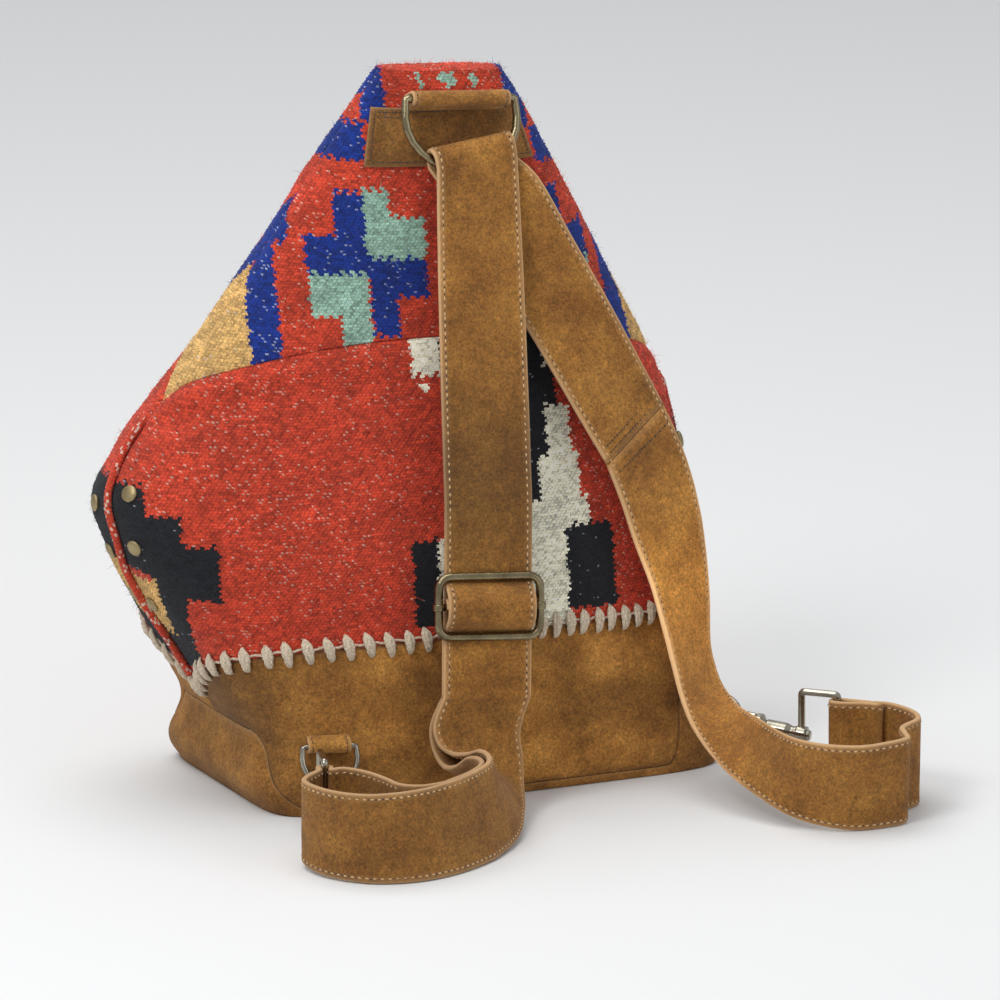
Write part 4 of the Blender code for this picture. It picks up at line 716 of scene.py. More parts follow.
def bottomPanel():
    columns = 190
    u = np.concatenate((np.linspace(0, 1, columns, endpoint=False), np.linspace(1, 0, columns, endpoint=False)))
    sides = np.repeat([-1.0, 1.0], columns)
    points, edges, shades = [], [], []
    floorRow = bagPoint(sides, u, np.zeros(len(u)))
    for share in bottomSet["rings"]:
        points.append(floorRow * share)
        edges.append(np.zeros(len(u)))
        shades.append(np.full(len(u), bottomSet["ringShade"]))
    edgeHeight = baseEdgeHeight(u) - gap
    (sunkDepth, sunkReach), (pale, paleReach) = suedeSet["baseSunk"], bottomSet["cutEdge"]
    (darker, darkReach), (leftDarker, leftReach) = bottomSet["lowShade"], bottomSet["leftShade"]
    for level in np.linspace(0, 1, bottomSet["levels"]):
        h = edgeHeight * level
        fade = unit(np.minimum(h, edgeHeight - h) / bottomSet["fade"])
        base = bagPoint(sides, u, h)
        soft = ripple(stretched(base, 1.6), 34, 6.0) * bottomSet["ruffle"] + suedeSet["bulge"] * 0.4
        sunk = sunkDepth * fading(edgeHeight - h, sunkReach)
        made = base + bagNormal(sides, u, h) * (soft * fade - sunk)[:, None]
        made[:, 2] = np.maximum(made[:, 2], 0.0)
        points.append(made)
        edges.append(pale * fading(edgeHeight - h, paleReach))
        shades.append(1.0 - darker * fading(h, darkReach) - leftDarker * unit(1 - u / leftReach))
    faces = gridFaces(len(points), 2 * columns, looped=True)
    piece = newPiece("bottomPanel", np.concatenate(points), faces, "suede", "bag", ["bottom_panel"])
    paintSuede(piece, np.concatenate(edges), np.concatenate(shades))


suedeBase("suedeBaseBack", -1, ["suede_base_back"])
suedeBase("suedeBaseFront", 1, ["suede_base_front"])
bottomPanel()
print("suede base done")

# stitching: little lens-shaped threads, with a dark lens of painted shade for the hole between them

stitchSet = {"pitch": 0.0040, "inset": 0.0027, "long": 0.0026, "wide": 0.0011, "high": 0.00042,
             "hole": (0.0013, 0.0012, 0.00012), "root": 0.0002}


def stitchRun(points, normals, pitch):
    # places along a line at an even pitch, as middle, direction and normal
    points, normals = np.asarray(points), np.asarray(normals)
    far = np.concatenate(([0], np.cumsum(np.linalg.norm(np.diff(points, axis=0), axis=1))))
    places = np.arange(pitch / 2, far[-1], pitch)

    def along(values, at):
        return np.column_stack([np.interp(at, far, values[:, k]) for k in range(3)])

    def sized(values):
        return values / np.maximum(np.linalg.norm(values, axis=1), 1e-9)[:, None]

    ahead = along(points, places + 0.0004) - along(points, places - 0.0004)
    return along(points, places), sized(ahead), sized(along(normals, places))


def stitchPiece(name, runs, body, look="stitch", scale=1.0):
    # pale thread gets a dark lens of painted shade for the hole beside it; dark thread doesn't need one
    points, faces, kinds = [], [], []
    shapes = ((stitchSet["long"], stitchSet["wide"], stitchSet["high"], 0.0),
              (*stitchSet["hole"], stitchSet["pitch"] * scale / 2))
    for middle, ahead, out in runs:
        across = np.cross(out, ahead)
        for k in range(len(middle)):
            for kind, (long, wide, high, shift) in enumerate(shapes):
                long, wide, high = long * scale, wide * scale, high * scale
                m = middle[k] + ahead[k] * shift
                first = len(points)
                points += [m - ahead[k] * long / 2, m + across[k] * wide / 2, m + ahead[k] * long / 2,
                           m - across[k] * wide / 2, m + out[k] * high, m - out[k] * stitchSet["root"]]
                for a, b in ((0, 1), (1, 2), (2, 3), (3, 0)):
                    faces += [(first + a, first + 4, first + b), (first + a, first + b, first + 5)]
                kinds += [kind] * 8
    piece = newPiece(name, points, faces, look, body)
    twoTone = look == "stitch"
    piece.data.materials.append(finishes["stitchDark" if twoTone else "stitch"])
    piece.data.polygons.foreach_set("material_index", np.array(kinds, np.int32) * np.int32(twoTone))
    return piece


# flat suede strips: straps and tabs. A station is a middle and half the width

def smoothLine(points, perSpan):
    made = []
    for k in range(len(points) - 1):
        before, low = points[max(k - 1, 0)], points[k]
        high, after = points[k + 1], points[min(k + 2, len(points) - 1)]
        for step in range(perSpan):
            t = step / perSpan
            t2, t3 = t * t, t * t * t
            made.append(low * (1.5 * t3 - 2.5 * t2 + 1) + high * (-1.5 * t3 + 2 * t2 + 0.5 * t)
                        + before * (-0.5 * t3 + t2 - 0.5 * t) + after * (0.5 * t3 - 0.5 * t2))
    made.append(points[-1])
    return made


def smoothStations(stations, perSpan):
    return list(zip(smoothLine([s[0] for s in stations], perSpan), smoothLine([s[1] for s in stations], perSpan)))


stripHalf = [(-1, 0.35), (-0.985, 0.80), (-0.95, 1)] + [(k / 5, 1) for k in range(-4, 5)] \
    + [(0.95, 1), (0.985, 0.80), (1, 0.35)]
stripRound = [(-1, -0.35)] + stripHalf + [(-u, -v) for u, v in stripHalf][:-1]


class SuedeStrip:
    # one strip as a grid of points, cut into pieces at given stations
    def __init__(self, stations, thickness, floor=None, uneven=0.0003):
        middles = np.array([s[0] for s in stations], float)
        halves = np.array([s[1] for s in stations], float)
        ahead = np.empty_like(middles)
        ahead[1:-1] = middles[2:] - middles[:-2]
        ahead[0], ahead[-1] = middles[1] - middles[0], middles[-1] - middles[-2]
        normals = np.cross(halves, ahead)
        normals /= np.linalg.norm(normals, axis=1)[:, None]
        around = np.array(stripRound)
        self.points = (middles[:, None] + halves[:, None] * around[None, :, :1]
                       + normals[:, None] * (thickness / 2) * around[None, :, 1:])
        shake = ripple(self.points.reshape(-1, 3), 60, 4.0).reshape(len(stations), -1, 1) * uneven
        self.points = self.points + normals[:, None] * shake
        if floor is not None:
            self.points[:, :, 2] = np.maximum(self.points[:, :, 2], floor)
        self.middles, self.halves, self.normals, self.thickness = middles, halves, normals, thickness
        self.floor, self.shade = floor, None

    def piece(self, name, first, last, look, body, replaced=(), closed=(False, False)):
        part = self.points[first:last + 1]
        rows, columns = part.shape[:2]
        faces = [tuple(f) for f in gridFaces(rows, columns, looped=True)]
        rim = np.array([1.0 if abs(u) >= 0.985 else 0.35 if abs(u) > 0.9 else 0.0 for u, _ in stripRound])
        edge = np.tile(rim, rows).reshape(rows, columns)
        if closed[0]:
            faces.append(tuple(range(columns))[::-1])
            edge[0] = 0.2
        if closed[1]:
            faces.append(tuple(range((rows - 1) * columns, rows * columns)))
            edge[-1] = 0.2
        made = newPiece(name, part.reshape(-1, 3), faces, look, body, replaced)
        tone = 0.97 + 0.06 * ripple(part.reshape(-1, 3), 18, 1.0)
        if self.shade is not None:
            tone = tone * np.repeat(self.shade[first:last + 1], columns)
        paintSuede(made, edge.ravel() * 0.8, tone)
        made.data.update()
        return made

    def stitches(self, first, last, inset=None, faces=(1, -1)):
        inset = stitchSet["inset"] if inset is None else inset
        runs = []
        halfWidth = np.linalg.norm(self.halves, axis=1)[:, None]
        for row in (-1, 1):
            for face in faces:
                line = self.middles + self.halves / halfWidth * (halfWidth - inset) * row \
                    + self.normals * (self.thickness / 2 * face)
                if self.floor is not None:
                    line[:, 2] = np.maximum(line[:, 2], self.floor)
                runs.append(stitchRun(line[first:last + 1], self.normals[first:last + 1] * face, stitchSet["pitch"]))
        return runs


# the part's own frames, as in its source
def ringFrame(middle, bar, pendant):
    bar, pendant = Vector(bar).normalized(), Vector(pendant)
    return Vector(middle), bar, (pendant - bar * pendant.dot(bar)).normalized()


def ringPoint(ring, sideways):
    middle, bar, pendant = ring["frame"]
    depth = ring["arm"] + ring["arc"] * math.sqrt(max(0.0, 1 - (sideways / ring["half"]) ** 2))
    return middle + bar * sideways + pendant * depth


topRing = {"frame": ringFrame((-0.004, -0.0262, 0.3640), (1, 0, -0.09), (0, -0.35, -1)),
           "half": 0.032, "arm": 0.0100, "arc": 0.0275, "wire": 0.0016}
baseRingSet = {"height": 0.038, "away": 0.0065, "places": (("left", -0.1007, 0.36), ("right", 0.1120, 2.4))}
baseRings = {}
for word, tabX, lean in baseRingSet["places"]:
    spot = [-1], acrossAt(-1, [tabX], [baseRingSet["height"]], 40), [baseRingSet["height"]]
    seat, out = Vector(bagPoint(*spot)[0]), Vector(bagNormal(*spot)[0])
    out = Vector((out.x, out.y, 0)).normalized()
    bar = Vector((0, 0, 1)).cross(out)
    bar = -bar if bar.x < 0 else bar
    baseRings[word] = {"frame": ringFrame(seat + out * baseRingSet["away"], bar, out * lean - Vector((0, 0, 1))),
                       "out": out, "half": 0.0145, "arm": 0.006, "arc": 0.015, "wire": 0.00125}


def hookFrame(ring, catch, towards):
    caught = ringPoint(ring, catch)
    axis = (Vector(towards) - caught).normalized()
    wire = (ringPoint(ring, catch + 0.0003) - ringPoint(ring, catch - 0.0003)).normalized()
    gape = axis.cross(wire).normalized()
    return caught, axis, (gape if gape.z > 0 else -gape)


hookSet = {"reach": 0.042, "eyeDepth": 0.020, "places": {"left": (-0.0110, (-0.1280, -0.1256, 0.0260)),
                                                         "right": (-0.0055, (0.1500, -0.1215, 0.0260))}}
hooks = {word: hookFrame(baseRings[word], *place) for word, place in hookSet["places"].items()}
eyes = {}
for word, (caught, axis, _) in hooks.items():
    near = caught + axis * hookSet["reach"]
    heading = Vector((axis.x, axis.y, 0)).normalized()
    eyes[word] = {"near": near, "heading": -heading, "far": near + heading * hookSet["eyeDepth"]}
print("frames", {w: [round(c, 4) for c in e["near"]] for w, e in eyes.items()})

# the long strap: stations as edge points in millimetres, from the part's source
strapSet = {"width": 0.047, "thickness": 0.003, "endShare": 0.92, "curlSlack": 0.0060, "curlMiddle": 3.5,
            "flapReach": 0.75, "sliderMiddle": (-0.0210, -0.1010, 0.1100), "down": (-0.07, -0.14, -0.985),
            "across": (0.98, -0.17, 0.0), "sliderHalf": 0.0158, "sliderWire": 0.00175, "barRadius": 0.0015,
            "foldShare": 0.968, "foldOffset": 0.0046, "foldRadius": 0.0052, "eyeWire": 0.0015, "eyeBottom": 0.0017}
curlPairs = [((-54, -103, 50), (-7, -109, 44)), ((-54, -109, 41), (-7, -112, 29)), ((-50, -117, 38), (-9, -117, 17)),
             ((-47, -129, 41), (-13, -127, 10)), ((-46, -142, 46), (-20, -141, 6.5)),
             ((-47, -156, 47.5), (-29, -157, 3.5)), ((-53, -169, 47.2), (-42, -173, 1.5))]
bandPairs = [((-66, -181, 47), (-58, -188, 0.4)), ((-84, -192, 47), (-80, -201, 0)),
             ((-106, -200, 47), (-106, -208, 0)), ((-130, -199, 47), (-130, -203, 0)),
             ((-145, -187, 47), (-146, -188, 0.5)), ((-152, -170, 47), (-152.5, -171, 1.5)),
             ((-151, -156, 47), (-151, -156, 3))]
loopBackPairs = [((-124, -146, 47), (-124, -146, 3)), ((-116.5, -157, 47), (-116.5, -157, 1.5)),
                 ((-112.5, -171, 47), (-112.5, -171, 0)), ((-110, -186, 47), (-110, -187, 0)),
                 ((-100, -193, 47), (-100, -199, 0))]
rightUpperPairs = [((-7, -43, 299), (34, -41, 321)), ((10, -52, 264), (51.5, -47, 287)),
                   ((26, -61, 233), (67, -54, 256)), ((42, -70, 201), (80, -59, 229))]
diagonalSeam = ((57, -77, 172), (96, -62, 197))
rightLowerPairs = [
    ((64, -81, 151), (107, -67, 168)), ((70, -84, 130), (114, -71, 136)), ((78, -88, 106), (118.5, -71, 98)),
    ((83, -92, 84), (119, -71, 68)), ((86, -98, 64), (121, -74, 53)), ((87, -107, 48), (121.5, -81, 46)),
    ((87, -122, 36), (120.5, -94, 43)), ((89, -140, 26), (118, -112, 42)), ((92, -158, 19), (115, -140, 44)),
    ((99, -178, 12), (113, -168, 45)), ((108, -197, 6), (113, -192, 46.5)), ((122, -208, 2), (120, -211, 47.5)),
    ((137, -215, 0), (137, -220, 47)), ((154, -216, 0), (154, -219, 47)), ((165, -213, 0), (166, -215, 47)),
    ((169.5, -203, 0), (169.5, -204, 47)), ((172, -195, 0), (172, -196, 47)), ((178, -190, 0), (178, -190.5, 47)),
    ((185.5, -185, 0), (186, -185, 47)), ((189, -176, 0.6), (190, -176, 47)), ((189, -165, 1.6), (190, -165, 47)),
    ((185.5, -151.5, 2.6), (185.5, -151.5, 47))]
halfStrap = strapSet["width"] / 2
lap = strapSet["thickness"] + bagShape["gap"]


def edgeStations(pairs):
    return [((Vector(a) + Vector(b)) * 0.0005, (Vector(b) - Vector(a)) * 0.0005) for a, b in pairs]


def backLayer(stations):
    # the same strip behind the first; where both curl it falls further back
    made = []
    for k, (middle, half) in enumerate(stations):
        slack = max(0.0, 1 - abs(k - strapSet["curlMiddle"]) / strapSet["curlMiddle"])
        far = lap + 0.0004 + strapSet["curlSlack"] * slack
        ahead = stations[min(k + 1, len(stations) - 1)][0] - stations[max(k - 1, 0)][0]
        made.append((middle + half.cross(ahead).normalized() * far, half.copy()))
    return made


legDown = Vector(strapSet["down"]).normalized()
legAcross = Vector(strapSet["across"])
legAcross = (legAcross - legDown * legAcross.dot(legDown)).normalized()
legNear = legDown.cross(legAcross).normalized()
sliderMiddle = Vector(strapSet["sliderMiddle"])


def legStations(path):
    return [(sliderMiddle + legDown * d + legNear * n, legAcross * halfStrap) for d, n in path]


behind = -(strapSet["sliderWire"] + bagShape["gap"] + strapSet["thickness"] / 2)
barTurn = strapSet["barRadius"] + bagShape["gap"] + strapSet["thickness"] / 2
crest = barTurn + lap + 0.0006
frameHalf = strapSet["sliderHalf"]
inside = frameHalf - strapSet["sliderWire"] - 0.0012
humpPath = [(frameHalf * 1.35, behind), (frameHalf, behind), (inside, behind * 0.92), (inside * 0.74, crest * 0.20),
            (inside * 0.45, crest * 0.80), (0.0, crest)]
humpPath += [(-down, out) for down, out in humpPath[-2::-1]]
wrapPath = [(barTurn * math.cos(math.radians(d)), barTurn * math.sin(math.radians(d)))
            for d in (75, 100, 130, 155, 180, 205, 230, 255)]
far = behind - lap
wrapPath += [(0.004, -barTurn * 1.06), (0.009, far * 0.82), (0.014, far * 0.97), (0.020, far),
             (frameHalf * 2, far), (frameHalf * 3, far)]
wrap, hump = legStations(wrapPath), legStations(humpPath)
legHigh = legStations([(-frameHalf * 3.4, behind)])[0]

# the fold over the top ring
foldReach = strapSet["width"] * strapSet["foldShare"]
left, right = (ringPoint(topRing, strapSet["foldOffset"] + s * foldReach / 2) for s in (-1, 1))
axis = (right - left).normalized()
hang = Vector((0, -0.2, -1))
rise = -(hang - axis * hang.dot(axis)).normalized()
near = axis.cross(rise).normalized()
near = -near if near.y > 0 else near
foldMiddle = (left + right) / 2
fold = []
for degrees in (-25, *range(0, 181, 15), 205):
    angle = math.radians(degrees)
    lift = math.sin(angle) * strapSet["foldRadius"] * (1 if 0 < degrees < 180 else 2)
    swing = math.cos(angle) if 0 <= degrees <= 180 else (1.0 if degrees < 0 else -1.0)
    fold.append((foldMiddle + near * strapSet["foldRadius"] * swing + rise * lift, axis * halfStrap))

curl, band, back = edgeStations(curlPairs), edgeStations(bandPairs), edgeStations(loopBackPairs)
throughLow = legStations([(frameHalf * 3.0, behind)])
hidden = backLayer(throughLow + curl + band[:2])[1:]

# the ends sewn round the eyes' far bars
turn = strapSet["eyeWire"] + bagShape["gap"] + strapSet["thickness"] / 2
endWidth = strapSet["width"] * strapSet["endShare"]
endLevel = strapSet["eyeBottom"] + strapSet["eyeWire"] + bagShape["gap"] + endWidth / 2


def endStation(spot, upright):
    return Vector((spot.x, spot.y, endLevel)), upright


def roundEye(bar, heading, side, upright):
    made = []
    for degrees in range(90, -91, -15):
        angle = math.radians(degrees)
        made.append(endStation(bar + heading * turn * math.cos(angle) + side * turn * math.sin(angle), upright))
    return made


bar, reach = eyes["left"]["far"], eyes["left"]["heading"]
upright = Vector((0, 0, -endWidth / 2))
roundBar = roundEye(bar, reach, Vector((reach.y, -reach.x, 0)).normalized(), upright)
lead = [(roundBar[k][0] - reach * 0.004, upright) for k in (0, -1)]
under = smoothStations([wrap[-1]] + hidden, 5)
loopOut = smoothStations([hidden[-1]] + list(reversed(back)) + [lead[0], roundBar[0]], 4)
loopBack = smoothStations([roundBar[-1], lead[1]] + list(reversed(band)), 4)
curlUp = smoothStations([band[0]] + list(reversed(curl)) + [throughLow[0]], 6)
leg = []
for share in (0.72, 0.45, 0.2):
    spot = legHigh[0].lerp(fold[0][0], 1 - share)
    half = legHigh[1].lerp(fold[0][1], (1 - share) ** 2)
    leg.append((spot, half.normalized() * halfStrap))
straight = smoothStations([throughLow[0], legHigh], 8)
riseUp = smoothStations([legHigh] + leg + [fold[0]], 6)
fallDown = smoothStations([fold[-1]] + edgeStations(rightUpperPairs + [diagonalSeam]), 6)

strapParts = {"under": under, "loopOut": loopOut, "roundBar": roundBar, "loopBack": loopBack, "curlUp": curlUp,
              "straight": straight, "riseUp": riseUp, "fold": fold, "fallDown": fallDown}
strapStations, marks = [], {}
for word, part in strapParts.items():
    marks[word] = len(strapStations)
    strapStations += part[:-1]
marks["end"] = len(strapStations)
strapStations.append(fallDown[-1])
longStrap = SuedeStrip(strapStations, strapSet["thickness"], floor=0.0)
# painted light and shade: the strap lighter where it rises and from the fold on, with painted shade behind the
# shoulder; it is also darker along the floor
longLightAndShade = {"plain": 0.92, "rising": 1.10, "darker": 0.56, "darkAt": (0.175, 0.050), "fold": 1.12, "floor": 0.84}
heights = longStrap.middles[:, 2]
longStrap.shade = np.full(len(heights), longLightAndShade["plain"])
rising = slice(marks["straight"], marks["fold"])
longStrap.shade[rising] = longLightAndShade["rising"] - longLightAndShade["darker"] * bell(heights[rising], *longLightAndShade["darkAt"])
longStrap.shade[marks["fold"]:] = longLightAndShade["fold"]
longStrap.shade[:marks["curlUp"]] = longLightAndShade["floor"]
wrapStrip = SuedeStrip(smoothStations(wrap, 2), strapSet["thickness"])
humpStrip = SuedeStrip(smoothStations(hump, 3), strapSet["thickness"])


def faceTowards(strip, station, aim):
    return (1,) if strip.normals[station].dot(np.array(aim)) > 0 else (-1,)


def strapPiece(strip, name, first, last, ride, replaced=(), closed=(False, False), faces=(1, -1), stitched=True):
    # ride is a body, or a tuple (body, body, start, end) whose contents are not used; a piece given a tuple rides no
    # body and has its placement baked in
    body = ride if isinstance(ride, str) else None
    made = [strip.piece(name, first, last, "strap", body, replaced, closed)]
    if stitched:
        made.append(stitchPiece(name + "Stitches", strip.stitches(first, last, faces=faces), body))
    if body is None:
        for piece in made:
            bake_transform(piece)


# two heights below the fold, carried in a ride tuple that is not used, and the station counts where the straps are
# cut
cutSet = {"stillBelow": 0.070, "followsBelow": 0.012, "rise": 12, "fall": 18, "innerLift": 40, "innerTurn": 8,
          "outerTurn": 20, "shortLift": 20, "shortSwing": 44, "shortTurn": 68}
topBlend = ("bag", "top_ring", tuple(foldMiddle - Vector((0, 0, cutSet["stillBelow"]))),
            tuple(foldMiddle - Vector((0, 0, cutSet["followsBelow"]))))
cutRise, cutFall = marks["riseUp"] + cutSet["rise"], marks["fallDown"] + cutSet["fall"]
strapPiece(longStrap, "strapLeg", marks["straight"], cutRise, "bag", ["strap_long"])
strapPiece(longStrap, "strapFold", cutRise, cutFall, topBlend)
strapPiece(longStrap, "strapRightLeg", cutFall, marks["end"], "bag", closed=(False, True))
wrapEnd, humpEnd = len(wrapStrip.middles) - 1, len(humpStrip.middles) - 1
strapPiece(wrapStrip, "strapWrap", 0, wrapEnd, "slider_bar", closed=(True, False), stitched=False)
strapPiece(humpStrip, "strapHump", 0, humpEnd, "slider_bar", faces=faceTowards(humpStrip, 0, legNear))
print("long strap", len(strapStations), "stations")

# the short strap, from the diagonal seam to the right eye
seam = edgeStations([diagonalSeam])[0]
lower = edgeStations(rightLowerPairs)
ahead = (lower[0][0] - seam[0]).normalized()
start = (seam[0] + ahead * (bagShape["gap"] + 0.0002), seam[1])
bar = eyes["right"]["far"]
heading = Vector((eyes["right"]["heading"].x, eyes["right"]["heading"].y, 0)).normalized()
side = Vector((-heading.y, heading.x, 0))
side = -side if side.y < 0 else side
upright = Vector((0, 0, endWidth / 2))


def besideBar(away, off):
    spot = bar - heading * away + side * off
    return endStation(spot, upright)


end = [besideBar(0.018, turn * 1.1), besideBar(0.009, turn)] + roundEye(bar, heading, side, upright)
end += [besideBar(0.006, -turn * 0.80), besideBar(0.012, -turn * 0.1), besideBar(0.017, turn * 1.1 - lap)]
arriving = lower[-1][0] - end[0][0]
beside = Vector((arriving.y, -arriving.x, 0)).normalized()
beside = -beside if beside.dot(side) > 0 else beside
end.append(endStation(end[0][0] + arriving * strapSet["flapReach"] + beside * lap, upright))
shortRun = smoothStations([start] + lower + [end[0]], 4)
shortStations = shortRun[:-1] + smoothStations(end, 2)
shortStrap = SuedeStrip(shortStations, strapSet["thickness"], floor=0.0)
# painted light: the short strap lighter, most low down where it turns up towards the light; none from station 38 on
shortLightAndShade = {"plain": 1.12, "lighter": 1.15, "lightAt": (0.095, 0.045), "steadyFrom": 38, "most": 1.0}
shortStrap.shade = shortLightAndShade["plain"] \
    + shortLightAndShade["lighter"] * bell(shortStrap.middles[:, 2], *shortLightAndShade["lightAt"])
steady = slice(shortLightAndShade["steadyFrom"], None)
shortStrap.shade[steady] = np.minimum(shortStrap.shade[steady], shortLightAndShade["most"])
print("short strap", len(shortStations), "stations")

# the lengths of strap round the ring, the hook and the eye; those given a ride tuple ride no body
leftLift = ("bag", "left_ring", (-0.030, -0.118, 0.066), (-0.050, -0.160, 0.030))
leftSwing = ("left_ring", "left_hook", (-0.072, -0.185, 0.020), (-0.100, -0.195, 0.020))
leftTurn = ("left_hook", "left_eye", (-0.120, -0.186, 0.020), (-0.130, -0.158, 0.020))
innerLift, outerLift = marks["under"] + cutSet["innerLift"], marks["curlUp"]
innerTurn, outerTurn = marks["loopOut"] + cutSet["innerTurn"], marks["loopBack"] + cutSet["outerTurn"]
strapPiece(longStrap, "strapUnder", marks["under"], innerLift, leftLift, closed=(True, False), stitched=False)
strapPiece(longStrap, "strapInner", innerLift, innerTurn, leftSwing, stitched=False)
strapPiece(longStrap, "strapEnd", innerTurn, outerTurn, leftTurn)
strapPiece(longStrap, "strapBand", outerTurn, outerLift, leftSwing)
strapPiece(longStrap, "strapCurl", outerLift, marks["straight"], leftLift)
rightLift = ("bag", "right_ring", (0.103, -0.095, 0.055), (0.106, -0.175, 0.030))
rightSwing = ("right_ring", "right_hook", (0.115, -0.205, 0.020), (0.150, -0.215, 0.020))
rightTurn = ("right_hook", "right_eye", (0.175, -0.188, 0.020), (0.180, -0.155, 0.020))
shortLift, shortSwing, shortTurn = (cutSet[word] for word in ("shortLift", "shortSwing", "shortTurn"))
strapPiece(shortStrap, "strapShort", 0, shortLift, "bag", ["strap_short"], closed=(True, False))
strapPiece(shortStrap, "strapShortCurl", shortLift, shortSwing, rightLift)
strapPiece(shortStrap, "strapShortBand", shortSwing, shortTurn, rightSwing)
strapPiece(shortStrap, "strapShortEnd", shortTurn, len(shortStations) - 1, rightTurn, closed=(False, True))


seamSet = {"pitch": 0.0042, "share": 0.86, "rows": (0.0035, 0.0075), "endStation": 6}


def seamStitches(name, strip, station, off, ride):
    # a row of stitches straight across the strip
    runs = []
    for face in (1, -1):
        middle = strip.middles[station] + strip.normals[station] * (strip.thickness / 2 * face)
        ahead = strip.middles[min(station + 1, len(strip.middles) - 1)] - strip.middles[station - 1]
        ahead = ahead / np.linalg.norm(ahead) * off
        half = strip.halves[station] * seamSet["share"]
        line = [middle - half + ahead, middle + half + ahead]
        runs.append(stitchRun(line, [strip.normals[station] * face] * 2, seamSet["pitch"]))
    body = ride if isinstance(ride, str) else None
    made = stitchPiece(name, runs, body, "stitchDark")
    if body is None:
        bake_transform(made)


for number, away in enumerate(seamSet["rows"]):
    seamStitches("seamRow" + str(number), longStrap, marks["end"], -away, "bag")
seamStitches("seamRowLow", shortStrap, 1, seamSet["rows"][0], "bag")
seamStitches("endRow", longStrap, marks["loopBack"] + seamSet["endStation"], 0.0, leftTurn)
print("straps done")

# patch and tabs of the same suede

patchSet = {"thickness": 0.002, "low": 0.3275, "high": 0.3570, "left": 0.055, "right": 0.041, "taper": 0.008,
            "across": 0.09, "up": 0.033, "inset": 0.0026, "pitch": 0.0036, "shade": 0.66}
tabSet = {"thickness": 0.002, "topWidth": 0.056, "topSeats": (-0.0012, -0.0072), "baseWidth": 0.0225,
          "baseSpread": 0.004, "baseReach": 0.0046, "inset": 0.0022}


def patchPoint(along, upward, proud):
    # along and upward run from 0 to 1 over the patch
    along, upward = (np.asarray(v, float).ravel() for v in np.broadcast_arrays(along, upward))
    left, right = patchSet["left"] - patchSet["taper"] * upward, patchSet["right"] - patchSet["taper"] * upward
    x = -left + (left + right) * along
    level = patchSet["low"] + (patchSet["high"] - patchSet["low"]) * upward
    h = np.minimum(level + 0.35 * bagShape["topLean"] * x * (level / bagTop) ** 2, bagTop)
    across = acrossAt(-1, x, h)
    normal = bagNormal(-1, across, h)
    return bagPoint(-1, across, h) + normal * np.reshape(proud, (-1, 1)), normal


patchRows, patchColumns = 22, 70
patchAlong, patchUp = np.meshgrid(np.linspace(0, 1, patchColumns), np.linspace(0, 1, patchRows))
edgeNear = np.minimum(np.minimum(patchAlong, 1 - patchAlong) * patchSet["across"],
                      np.minimum(patchUp, 1 - patchUp) * patchSet["up"]).ravel()
face = patchSet["thickness"] + bagShape["gap"]
patchFlat, _ = patchPoint(patchAlong, patchUp, face)
proud = face + ripple(patchFlat, 60, 2.0) * 0.0004 * unit(edgeNear / 0.003) - 0.0007 * fading(edgeNear, 0.0006) \
    - 0.0003 * bell(edgeNear, patchSet["inset"], 0.0006)
patchPoints, _ = patchPoint(patchAlong, patchUp, proud)
patch = newPiece("topPatch", patchPoints, gridFaces(patchRows, patchColumns), "suede", "bag", ["top_patch"])
paintSuede(patch, 0.55 * fading(edgeNear, 0.0005), patchSet["shade"] + 0.08 * ripple(patchFlat, 30, 7.0))
addSkirt(patch, patchSet["thickness"] * 0.95)
nearSide, lowRow = patchSet["inset"] / patchSet["across"], patchSet["inset"] / patchSet["up"]
farSide, highRow, secondRow = 1 - nearSide, 1 - lowRow, 1 - lowRow * 2.1
rim = []
for startAlong, startUp, endAlong, endUp in (
        (nearSide, lowRow, farSide, lowRow), (farSide, lowRow, farSide, highRow),
        (farSide, highRow, nearSide, highRow), (nearSide, highRow, nearSide, lowRow),
        (nearSide, secondRow, farSide, secondRow)):
    line, out = patchPoint(np.linspace(startAlong, endAlong, 24), np.linspace(startUp, endUp, 24), face - 0.0001)
    rim.append(stitchRun(line, out, patchSet["pitch"]))
stitchPiece("patchStitches", rim, "bag", "stitchDark", 0.9)


def tab(name, ring, width, seats, outward, replaced):
    middle, bar, _ = ring["frame"]
    outward = Vector(outward)
    outward = (outward - bar * outward.dot(bar)).normalized()
    upward = bar.cross(outward).normalized()
    upward = -upward if upward.z < 0 else upward
    turn = ring["wire"] + bagShape["gap"] + tabSet["thickness"] / 2
    (upper, high), (lower, low) = seats
    path = [(-upper, high), (-upper * 0.6, high * 0.5 + turn * 0.5), (-turn * 0.5, turn * 0.98)]
    path += [(turn * math.cos(math.radians(d)), turn * math.sin(math.radians(d))) for d in range(75, -76, -15)]
    path += [(-turn * 0.5, -turn * 0.98 + low * 0.1), (-lower * 0.6, low * 0.5 - turn * 0.5), (-lower, low)]
    stations = smoothStations([(middle + outward * o + upward * u, bar * width / 2) for o, u in path], 2)
    strip = SuedeStrip(stations, tabSet["thickness"], uneven=0.0002)
    last = len(stations) - 1
    strip.piece(name, 0, last, "suede", "bag", replaced, (True, True))
    runs = strip.stitches(0, last, tabSet["inset"], faceTowards(strip, last // 2, outward))
    stitchPiece(name + "Stitches", runs, "bag", "stitchDark", 0.8)


